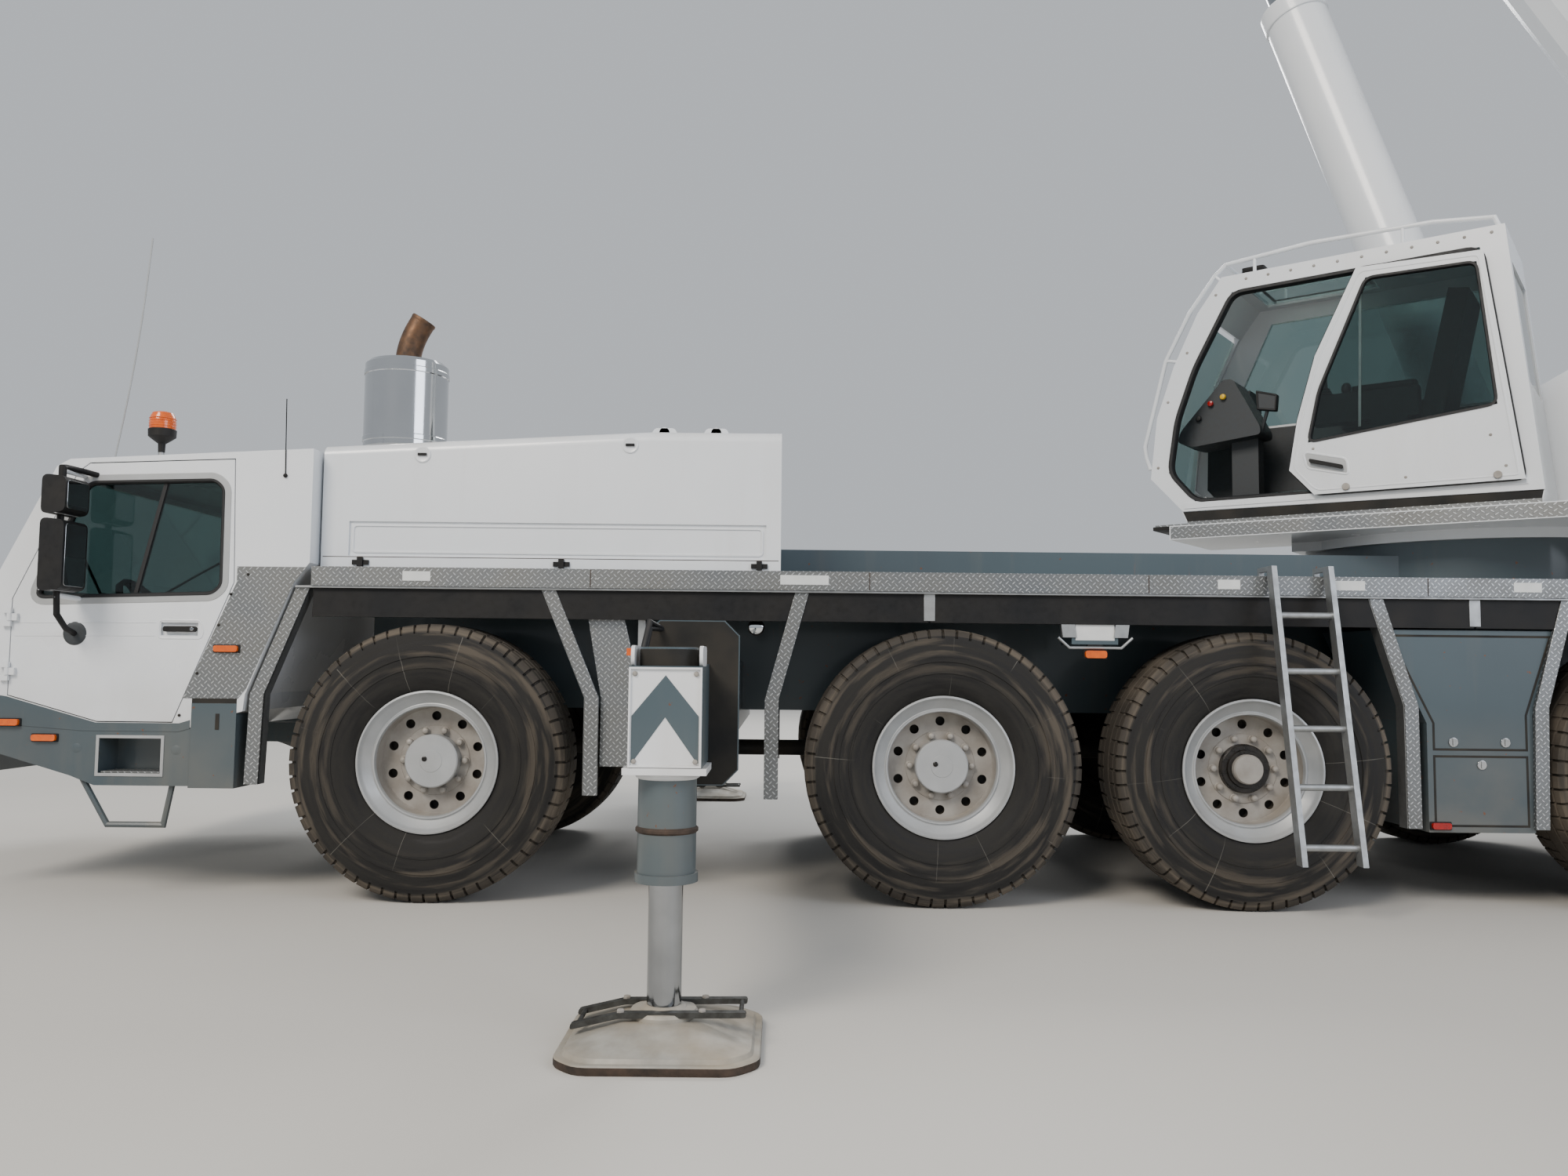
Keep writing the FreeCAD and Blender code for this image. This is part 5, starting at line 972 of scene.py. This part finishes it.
def make_jacks():
    """Bright jack rods on pressed floats: each ring of the float is a clipped square whose half side goes
    with height, and the yoke's two bars are joined by round cross pins."""
    levels = [(0.0001, 0.0), (0.328, 0.0), (0.330, 0.004), (0.330, 0.026), (0.326, 0.030), (0.308, 0.031),
              (0.300, 0.044), (0.215, 0.070), (0.135, 0.093), (0.120, 0.0952), (0.0001, 0.0952)]
    y, centre = JACK_Y, (0, JACK_Y, 0)
    rings = np.array([clipped_ring(half, z) for half, z in levels])
    rod = [(0, 0.119), (0.0585, 0.119), (0.0585, 0.893), (0.056, 0.895), (0, 0.895)]
    collar = [(0, 0.095), (0.115, 0.095), (0.115, 0.108), (0.108, 0.119), (0.078, 0.123), (0.068, 0.131),
              (0.0585, 0.133)]
    bar = rounded([(-0.300, 0.070), (-0.140, 0.107), (0.280, 0.113), (0.280, 0.131), (-0.140, 0.125),
                   (-0.300, 0.088)],
                  0.008, 2)
    patches = [surface(rings[3:], "float_steel", UP, round_columns=True),
               # The float's bottom and low upright side in dark grime: partly ground dirt, partly painted
               # shade on its side
               surface(rings[:4], "grime", DOWN, round_columns=True),
               revolve(rod, centre, UP, 64, "chrome"), revolve(collar, centre, UP, 48, "float_steel", UP)]
    for s in (-1, 1):
        patches.append(prism(bar, *sorted((y + s * 0.066, y + s * 0.098)), "drum_steel"))
        patches += [hex_head(0.013, -0.004, 0.018, (x, y + s * 0.082, z), UP)
                    for x, z in ((0.135, 0.119), (-0.135, 0.116))]
    patches += [tube([(x, y - 0.082, z), (x, y + 0.082, z)], 0.008, 10, "drum_steel")
                for x, z in ((0.262, 0.122), (-0.275, 0.086))]
    for name, (x, side) in OUTRIGGERS.items():
        jack = "jack_" + name
        make_piece("jack_and_float_" + name, shifted(patches, x, side), jack, [jack], sharp=28)


# Superstructure

CAB_SIDE = -1.300
CAB_FLOOR = 2.345
CAB_OPENING = [(1.080, 3.690), (-0.300, 3.690), (-0.440, 2.360), (1.330, 2.360), (1.500, 2.560),
               (1.450, 2.900),
               (1.330, 3.230)]
CAB_DOOR = [(0.340, 3.690), (-0.320, 3.660), (-0.490, 2.340), (0.600, 2.340), (0.740, 2.500), (0.690, 2.800),
            (0.580, 3.190)]
CAB_DOOR_GLASS = [(0.290, 3.620), (-0.287, 3.600), (-0.368, 2.770), (0.630, 2.660), (0.565, 2.970)]
CAB_LINING = [(-0.490, 2.345), (1.340, 2.355), (1.500, 2.540), (1.490, 2.935), (-0.440, 2.935)]
FOOT_PIN, BOOM_ANGLE = (-2.000, 3.400), math.radians(63.5)
LIFT_PIN = (-0.220, 2.280)


def raised(patches, origin, angle):
    """Patches drawn along a line that starts at the origin, turned up to its angle: ahead = p0 + a cos t -
    u sin t and height = z0 + a sin t + u cos t, for the distance a along the line and u above it."""
    c, s = math.cos(angle), math.sin(angle)
    turned = []
    for points, faces, finish, corners in patches:
        a, y, u = points.T
        points = np.column_stack([origin[0] + a * c - u * s, y, origin[1] + a * s + u * c])
        turned.append((points, faces, finish, corners))
    return turned


def on_boom(along, below):
    """Where a point so far along the boom and below its line is: ahead of the slew centre, and its
    height."""
    c, s = math.cos(BOOM_ANGLE), math.sin(BOOM_ANGLE)
    return FOOT_PIN[0] + along * c + below * s, FOOT_PIN[1] + along * s - below * c


def make_cab_upper():
    """The crane cab's fixed trim: opening seal, dirty sill, tread strip, step, door track, bolts and grab
    rails."""
    y, rail_y, far_y = CAB_SIDE, CAB_SIDE + 0.05, -0.540
    seal = [(-0.010, y), (-0.010, y - 0.003), (0.010, y - 0.003), (0.018, y + 0.012), (0.018, y + 0.045),
            (-0.001, y + 0.045)]
    sill = [(-0.555, 2.214), (1.376, 2.214), (1.412, 2.297), (-0.568, 2.279)]
    pane = [(-0.02, 3.80), (-0.02, 3.806), (0.0, 3.806), (0.004, 3.80)]
    patches = [frame_round(rounded(CAB_OPENING, 0.07, 5), seal, "gasket"),
               prism(sill, y + 0.0075, y + 0.0105, "axle_black"),
               prism(rect(-0.560, 1.385, 2.206, 2.232), y + 0.004, y + 0.0075, "chequer"),
               prism(rect(-0.955, 1.492, 2.126, 2.204), y - 0.002, y, "chequer"),
               prism(rect(0.700, 1.600, 2.208, 2.222), -1.285, -0.500, "chequer"),
               prism(rect(0.690, 1.610, 2.185, 2.209), -1.298, -0.490, "axle_black"),
               prism(rect(-0.480, 1.395, 2.318, 2.328), y - 0.0042, y, "axle_black"),
               prism(rect(0.92, 1.06, -1.16, -0.98, 0.02), 3.80, 3.88, "black_plastic", "top"),
               block(1.055, 1.064, -1.145, -0.995, 3.815, 3.87, "mirror"),
               tube([(1.50, -0.90, 3.23), (1.60, -0.98, 2.96), (1.632, -1.06, 2.70)], 0.008, 8, "gasket"),
               tube([(1.33, -0.895, 3.60), (1.44, -0.89, 3.39), (1.545, -0.90, 3.14)], 0.009, 8,
                    "black_plastic"),
               frame_round(rect(0.40, 0.999, -1.185, -0.605), pane, "gasket", "top")]
    bolts = [(1.18, 3.69), (1.37, 3.34), (1.50, 3.03), (1.57, 2.60)]
    bolts += [(p, 3.762) for p in np.arange(-0.36, 1.12, 0.135)]
    patches += [dome_head(0.010, 0.006, (p, y, z), LEFT, 12) for p, z in bolts]
    corner = (1.129, 3.892)
    front = [(1.640, 2.600), (1.668, 2.689), (1.676, 2.760), (1.529, 3.320), (1.366, 3.618), (1.200, 3.830),
             corner]
    roof = [corner, (0.610, 3.926), (-0.059, 3.905), (-0.370, 3.862), (-0.395, 3.795)]
    rails = [at_depth(front, rail_y), at_depth(roof, rail_y), at_depth(roof, far_y)]
    rails.append([(corner[0], side, corner[1]) for side in (rail_y, far_y)])
    posts = [[(p, side, z), (p, side, 3.798)] for p,
             z in ((0.95, 3.90), (0.10, 3.91)) for side in (rail_y, far_y)]
    posts += [at_depth(ends, rail_y) for ends in (
        ((1.63, 2.595), (1.61, 2.60)), ((1.529, 3.320), (1.435, 3.300)), ((1.200, 3.830), (1.150, 3.780)))]
    patches += [tube(path, 0.014, 12, "white") for path in rails]
    patches += [tube(path, 0.011, 10, "white") for path in posts]
    make_piece("crane_cab_trim", patches, "superstructure", turned=True, bevel=0.001)


def make_cab_console():
    """Inside the crane cab: front console with its display and coloured knobs, arm rests with lever
    gaiters, seat cushion, pedals and the lining."""
    y = -0.895  # middle of the cab
    console = [(0.985, 2.800), (0.985, 2.850), (1.154, 3.184), (1.215, 3.190), (1.500, 2.875),
               (1.525, 2.800), (1.420, 2.760)]
    screen = rounded([(1.015, 3.093), (0.880, 3.050), (0.890, 2.942), (1.010, 2.965)], 0.01, 2)
    bezel = [(0.0, y - 0.150), (0.004, y - 0.156), (0.010, y - 0.156), (0.013, y - 0.150)]
    knob = [(0, 0.032), (0.016, 0.028), (0.020, 0.016), (0.012, 0), (0, 0)]
    gaiter = [(0.052, 0), (0.050, 0.012), (0.040, 0.018), (0.042, 0.028), (0.032, 0.036), (0.033, 0.046),
              (0.0, 0.052)]
    pedal = [(1.26, CAB_FLOOR), (1.34, 2.42), (1.35, 2.41), (1.28, 2.343)]
    mat = [(-0.490, 2.325), (1.360, 2.343), (1.360, 2.347), (-0.490, 2.329)]
    rear = [(-0.512, CAB_FLOOR), (-0.506, CAB_FLOOR), (-0.452, 2.890), (-0.458, 2.890)]
    patches = [prism(rounded(console, 0.03), y - 0.17, y + 0.10, "trim"),
               prism(rect(1.03, 1.20, CAB_FLOOR, 2.80), y - 0.06, y + 0.06, "trim"),
               prism(screen, y - 0.150, y - 0.110, "trim"), frame_round(screen, bezel, "gasket"),
               tube([(0.950, y - 0.125, 2.960), (1.000, y - 0.100, 2.820)], 0.012, 8, "trim"),
               prism(CAB_LINING, -0.536, -0.531, "trim"), prism(mat, -1.250, -0.536, "axle_black"),
               prism(rear, -1.250, -0.536, "trim")]
    patches += [revolve(knob, (p, y - 0.170, z), LEFT, 20, finish)
                for p, z, finish in ((1.296, 3.035, "red"), (1.214, 3.070, "yellow"),
                                     (1.375, 2.945, "gasket"))]
    for side in (y - 0.310, y + 0.310):
        patches += [revolve(gaiter, (0.560, side, 2.958), UP, 24, "gasket", UP),
                    ball((0.570, side, 3.130), 0.032, "gasket", 1.3, 20),
                    prism(rect(0.05, 0.40, side - 0.052, side + 0.052, 0.03), 2.958, 2.990, "gasket", "top")]
    patches += [prism(pedal, side - 0.035, side + 0.035, "aluminium") for side in (y - 0.14, y, y + 0.14)]
    for p in 0.09 * np.arange(5):
        roll = rounded([(p, 2.858), (p + 0.088, 2.858), (p + 0.088, 2.895), (p, 2.892)], 0.016)
        patches.append(prism(roll, y - 0.205, y + 0.205, "gasket"))
    make_piece("crane_cab_console", patches, "superstructure", turned=True, bevel=0.002)


def make_cab_door():
    """The sliding door's window seal, pale inner bar, handle in its grey recess, edge seal and hanger
    rollers."""
    y = CAB_SIDE - 0.040
    glass, edge = rounded(CAB_DOOR_GLASS, 0.05, 5), rounded(CAB_DOOR, 0.05, 4)
    outside = [(-0.006, y), (-0.006, y - 0.005), (0.008, y - 0.005), (0.013, y + 0.010), (-0.001, y + 0.010)]
    inside = [(-0.001, y + 0.024), (0.013, y + 0.024), (0.008, y + 0.037), (-0.006, y + 0.037),
              (-0.006, y + 0.035)]
    rim_seal = [(-0.004, y + 0.004), (-0.007, y + 0.010), (-0.007, y + 0.026), (-0.004, y + 0.033),
                (0.001, y + 0.018)]
    recess = rounded([(0.400, 2.440), (0.640, 2.500), (0.660, 2.590), (0.640, 2.606), (0.410, 2.545)], 0.03)
    handle = rounded([(0.430, 2.478), (0.619, 2.534), (0.619, 2.558), (0.430, 2.502)], 0.012)
    inner_bar = [(0.335, 2.730), (0.350, 2.728), (0.330, 3.570), (0.315, 3.572)]
    patches = [frame_round(glass, outside, "gasket"), frame_round(glass, inside, "gasket"),
               frame_round(edge, rim_seal, "gasket"),
               frame_round(edge, [(0.020, y), (0.022, y - 0.003), (0.030, y - 0.003), (0.033, y)], "white"),
               frame_round(recess, [(-0.004, y), (0.0, y - 0.004), (0.008, y - 0.004), (0.012, y)], "white"),
               prism(inner_bar, y + 0.018, y + 0.028, "rim_paint"), prism(recess, y - 0.0012, y, "rim_paint"),
               prism(handle, y - 0.030, y - 0.014, "black_plastic")]
    patches += [block(p - 0.010, p + 0.010, y - 0.016, y + 0.001, z - 0.009, z + 0.009, "black_plastic")
                for p, z in ((0.445, 2.494), (0.604, 2.541))]
    patches += [disc(0.022, 0, 0.014, 0.003, (p, y, 2.372), LEFT, 20, "rim_dusty") for p in (-0.36, 0.42)]
    patches += [dome_head(0.009, 0.005, (p, y, z), LEFT, 10)
                for p, z in ((-0.33, 2.60), (-0.40, 2.42), (0.10, 2.40), (0.60, 2.62))]
    make_piece("crane_cab_door_trim", patches, "crane_cab_door", turned=True, bevel=0.0008)


DRUM_AHEAD, DRUM_Z, DRUM_R = -2.640, 2.620, 0.2010


def make_winch_rope():
    """Rope laid in one layer on the drum: its outline is a row of half circles, r(y) = R + sqrt(a^2 - (y -
    c)^2)."""
    wraps, a = 34, 0.0103  # a is the rope's radius
    t = np.linspace(0, math.pi, 5)[:-1]
    centres = (np.arange(wraps) - (wraps - 1) / 2) * 2 * a
    along = (centres[:, None] - a * np.cos(t)).ravel()
    radius = np.tile(DRUM_R + a * np.sin(t), wraps)
    profile = [(0.190, along[0] - 0.001), *zip(radius, along), (0.190, along[-1] + 0.004)]
    patches = [revolve(profile, (DRUM_AHEAD, 0, DRUM_Z), RIGHT, 56, "rope")]
    patches += [hex_head(0.013, -0.002, 0.010, (DRUM_AHEAD + p, s * 0.380, DRUM_Z + z), (0, s, 0))
                for s in (-1, 1) for p, z in on_circle(10, 0.222)]
    make_piece("rope_on_drum", patches, "winch_drum", turned=True)


def make_cylinder_trim():
    """Hard pipes, clamps, port block and gland bolts on the luffing cylinder's barrel, which runs from its
    foot pin to the eye at 6.2 m along the boom and 1.1 m below it."""
    ahead, height = on_boom(6.2, 1.1)
    angle = math.atan2(height - LIFT_PIN[1], ahead - LIFT_PIN[0])
    pipe = ((0.62, 0.205), (0.66, 0.250), (0.80, 0.262), (3.55, 0.262), (3.68, 0.250), (3.72, 0.205))
    seam = [(0.209, 0), (0.221, 0.004), (0.221, 0.020), (0.209, 0.024)]
    wiper = [(0.1315, 4.058), (0.160, 4.058), (0.160, 4.070), (0.1315, 4.074)]
    patches = [tube([(a, y, u) for a, y in pipe], 0.015, 12, "drum_steel") for u in (-0.06, 0.06)]
    patches += [block(a - 0.02, a + 0.02, 0.200, 0.284, -0.095, 0.095, "axle_black")
                for a in (1.1, 1.9, 2.7, 3.4)]
    patches.append(block(0.45, 0.66, 0.190, 0.270, -0.10, 0.10, "axle_black"))
    patches += [revolve(seam, (a, 0, 0), ALONG, 64, "white", ALONG) for a in (0.342, 3.930)]
    patches += [hex_head(0.014, -0.002, 0.012, (4.060, y, u), ALONG) for y, u in on_circle(16, 0.178)]
    patches.append(revolve(wiper, (0, 0, 0), ALONG, 64, "gasket", ALONG))
    make_piece("luffing_cylinder_fittings", raised(patches, LIFT_PIN, angle), "lift_barrel",
               turned=True)


def make_boom_trim():
    """On the boom base: collar bolts and pads, a tray of hoses along one side, and rope rollers."""
    half, top = 0.330, 0.450  # the base section's half width and top, from its own line
    rollers = (3.2, 7.4, 11.2)
    patches = [block(a, a + 0.06, half, half + 0.028, 0.10, 0.24, "axle_black")
               for a in np.arange(1.0, 11.4, 1.3)]
    patches.append(block(0.8, 11.5, half + 0.020, half + 0.026, 0.10, 0.24, "aluminium"))
    patches += [tube([(0.75, half + 0.012, u), (11.6, half + 0.012, u)], 0.010, 8, "gasket")
                for u in (0.135, 0.17, 0.205)]
    patches += [tube([(a, -0.22, top + 0.066), (a, 0.22, top + 0.066)], 0.028, 16, "drum_steel")
                for a in rollers]
    for s in (-1, 1):
        ear, pad = s * 0.20, s * 0.235
        patches += [hex_head(0.022, 0, 0.016, (a, s * (half + 0.030), u), (0, s, 0), 0.003)
                    for a in (11.78, 11.94) for u in (-0.10, 0.05, 0.20)]
        patches += [block(a - 0.03, a + 0.03, ear - 0.02, ear + 0.02, top, top + 0.085,
                          "axle_black") for a in rollers]
        patches.append(block(11.80, 11.96, pad - 0.07, pad + 0.07, top + 0.030, top + 0.052, "axle_black"))
    patches = raised(patches, FOOT_PIN, BOOM_ANGLE)
    make_piece("boom_base_fittings", patches, "boom_base", turned=True, bevel=0.001)


def make_house_trim():
    """On the superstructure: the ballast's slab seams, red marks and lifting eyes, vents, hatch, pin
    grease, slew ring bolts and a grab rail."""
    slab = [(-3.02, -1.3), (-3.68, -1.3), (-3.9, -1.08), (-3.9, 1.08), (-3.68, 1.3), (-3.02, 1.3)]
    patches = [frame_round(slab, [(-0.001, z - 0.005), (-0.001, z + 0.005), (0.004, z + 0.005),
                                  (0.004, z - 0.005)],
                           "axle_black", "top") for z in (2.35, 2.65, 2.95)]
    patches += [block(-3.903, -3.899, y - 0.05, y + 0.05, z, z + 0.14, "red")
                for y in (-0.98, 0.98) for z in (2.42, 2.72)]
    for p in (-3.18, -3.70):
        eye = rounded([(p - 0.09, 3.24), (p + 0.09, 3.24), (p + 0.07, 3.37), (p - 0.07, 3.37)], 0.06)
        patches += [frame_round(eye, band(0, 0.03, y - 0.02, 0.04), "axle_black") for y in (-0.75, 0.75)]
    y = CAB_SIDE
    hatch = rounded([(-1.95, 2.22), (-1.05, 2.22), (-1.00, 2.95), (-1.95, 2.95)], 0.04)
    patches.append(frame_round(hatch, [(0, y), (0.002, y - 0.006), (0.016, y - 0.006), (0.018, y)], "white"))
    patches += [block(-2.80, -2.10, y - 0.006, y + 0.001, z, z + 0.030, "black_plastic")
                for z in 2.50 + 0.055 * np.arange(6)]
    patches += [block(-1.93, -1.90, y - 0.012, y + 0.001, z - 0.04, z + 0.04, "black_plastic")
                for z in (2.36, 2.80)]
    patches.append(disc(0.03, 0, 0.01, 0.003, (-1.10, y, 2.60), LEFT, 24, "black_plastic"))
    patches += [revolve([(0, 0.030), (r - 0.01, 0.030), (r + 0.01, 0.012), (r + 0.01, 0)], (p, s * 0.480, z),
                        (0, s, 0),
                        40, "grease", (0, s, 0)) for s in (-1, 1) for (p, z),
                r in ((FOOT_PIN, 0.080), (LIFT_PIN, 0.070))]
    p0, p1 = -2.85, -1.20
    rail = [(p0, 3.12), (p0, 3.52), (p0 + 0.08, 3.60), (p1 - 0.08, 3.60), (p1, 3.52), (p1, 3.12)]
    patches += [tube(at_depth(rail, -1.24), 0.017, 12, "aluminium"),
                tube([(p0, -1.24, 3.36), (p1, -1.24, 3.36)], 0.014, 10, "aluminium")]
    patches += [hex_head(0.016, -0.004, 0.014, (p, side, 2.052), UP) for p, side in on_circle(36, 0.86)]
    make_piece("superstructure_fittings", patches, "superstructure", turned=True, bevel=0.001)


BOOM_HEAD, HEAD_BELOW, TOP_SHEAVE = 13.220, 0.560, (13.140, 0.140)
ROPE_ROWS = (-0.090, 0.0, 0.090)
ROPE_REACH, HOOK_DROP = 0.1916, 1.500


def grooved(radius, half, centre, finish):
    """A rope sheave about the crosswise axis, with a groove in its rim, a thin web and a thick hub."""
    profile = [(0, half), (0.075, half), (0.078, half - 0.008), (radius - 0.035, half - 0.010),
               (radius - 0.030, half),
               (radius, half - 0.003), (radius - 0.011, half * 0.4), (radius - 0.0125, 0)]
    profile += [(r, -h) for r, h in profile[-2::-1]]
    return revolve(profile, centre, RIGHT, 48, finish)


def make_head_sheaves():
    """Steel sheaves at the boom's head, with pin heads on both cheeks."""
    patches = []
    for a, u in ((BOOM_HEAD, -HEAD_BELOW), TOP_SHEAVE):
        patches += [grooved(0.1925, 0.0235, (a, y, u), "drum_steel") for y in ROPE_ROWS]
        patches += [hex_head(0.060, 0.197, 0.212, (a, 0, u), (0, s, 0), 0.004) for s in (-1, 1)]
    patches = raised(patches, FOOT_PIN, BOOM_ANGLE)
    make_piece("boom_head_sheaves", patches, "boom_inner_3", turned=True)


def make_hook():
    """Hook block: rope falls of steel wire, grooved sheaves between yellow cheeks, swivel, and a forged
    hook whose middle line is an arc of radius 0.12 from -135 to 180 degrees."""
    p, z = on_boom(BOOM_HEAD, HEAD_BELOW)
    low = z - HOOK_DROP
    eye = [(0.0455, 0.116), (0.075, 0.116), (0.075, 0.146), (0.0455, 0.146), (0.0455, 0.116)]
    cheek = rounded([(p - 0.213, low - 0.328), (p + 0.213, low - 0.328), (p + 0.213, low - 0.060),
                     (p + 0.110, low + 0.120), (p - 0.110, low + 0.120), (p - 0.213, low - 0.060)], 0.05, 5)
    beam = rect(p - 0.190, p + 0.190, low - 0.325, low - 0.205, 0.03)
    angle = np.radians(np.linspace(-135, 180, 29))
    arc = np.column_stack([p + 0.120 * np.sin(angle), 0 * angle, low - 0.560 - 0.120 * np.cos(angle)])
    patches = [tube([(p + dx, y, low), (p + dx, y, z)], 0.0108, 10, "rope")
               for dx in (-ROPE_REACH, ROPE_REACH) for y in ROPE_ROWS]
    patches += [grooved(0.184, 0.020, (p, y, low), "drum_steel") for y in ROPE_ROWS]
    patches += [revolve(eye, (p, 0, z), RIGHT, 40, "drum_steel"),
                block(p - 0.010, p + 0.010, 0.121, 0.141, low - 0.060, z - 0.060, "drum_steel"),
                prism(beam, -0.141, 0.141, "hook_yellow"), prism(cheek, -0.150, -0.142, "hook_yellow"),
                prism(cheek, 0.142, 0.150, "hook_yellow"),
                disc(0.048, low - 0.445, low - 0.320, 0.004, (p, 0, 0), UP, 32, "drum_steel"),
                disc(0.066, low - 0.372, low - 0.328, 0.006, (p, 0, 0), UP, 6, "drum_steel"),
                tube(arc, 0.036, 16, "hook_yellow"),
                tube([(p - 0.085, 0, low - 0.475), (p + 0.030, 0, low - 0.445)], 0.008, 8, "rim_dusty")]
    patches += [disc(0.055, 0.148, 0.1495, 0.001, (p, 0, low), (0, s, 0), 32, "drum_steel") for s in (-1, 1)]
    make_piece("hook_block_and_falls", patches, "hook_block", ["hook_block"], turned=True)


# Camera and stage

def set_camera():
    """Looks along +Y from the left of the crane, tilted up and rolled by the angles above."""
    data = bpy.data.cameras.new("camera")
    data.sensor_width = SENSOR_W
    data.lens = FOCAL_PX / PICTURE_W * SENSOR_W
    data.clip_end = 200.0
    camera = new_object("camera", data)
    roll = Matrix.Rotation(math.radians(CAMERA_ROLL), 4, "Z")
    tilt = Matrix.Rotation(math.radians(90.0 + CAMERA_PITCH), 4, "X")
    camera.matrix_world = Matrix.Translation(CAMERA_PLACE) @ tilt @ roll
    bpy.context.scene.camera = camera


def area_light(name, place, target, size, watts, colour="ffffff"):
    """A soft square light that faces a target."""
    data = bpy.data.lights.new(name, "AREA")
    data.shape = "SQUARE"
    data.size = size
    data.energy = watts
    data.color = linear(colour)[:3]
    light = new_object(name, data)
    aim = Vector(target) - Vector(place)
    light.matrix_world = Matrix.Translation(place) @ aim.to_track_quat("-Z", "Y").to_matrix().to_4x4()


def set_stage():
    """A plain pale floor that runs to a pale horizon, with a soft key, a fill and light from the sky."""
    side = 60.0  # half the floor's width
    mesh = bpy.data.meshes.new("floor")
    mesh.from_pydata([(x, y, 0) for x, y in rect(-side, side, -side, side)], [], [(0, 1, 2, 3)])
    floor = new_object("floor", mesh)
    mesh.materials.append(plain("pale_studio_floor", "c9c6c0", "c4c1bb", 3000, (0.8, 0.9), bump_mm=0.0))
    world = bpy.data.worlds.new("pale_sky")
    bpy.context.scene.world = world
    world.use_nodes = True
    sky = world.node_tree.nodes["Background"].inputs
    sky["Color"].default_value = linear("dfe4ea")
    sky["Strength"].default_value = 0.75
    area_light("key", (-12.0, -18.0, 17.0), (0, 0, 2), 9.0, 5200.0, "fff6ea")
    area_light("fill", (14.0, -14.0, 8.0), (0, 0, 2), 10.0, 1500.0, "eef3ff")
    area_light("rim", (4.0, 18.0, 16.0), (0, 0, 3), 10.0, 3500.0)


materials = make_materials()
dress_nodes()
for make in (make_wheels, make_arches, make_deck_trim, make_lamps, make_lockers, make_cover_trim,
             make_exhaust,
             make_cab_skin, make_door_trim, make_roof_fittings, make_outrigger_ends, make_jacks,
             make_cab_upper,
             make_cab_console, make_cab_door, make_winch_rope, make_cylinder_trim, make_boom_trim,
             make_house_trim,
             make_head_sheaves, make_hook):
    make()
set_camera()
set_stage()
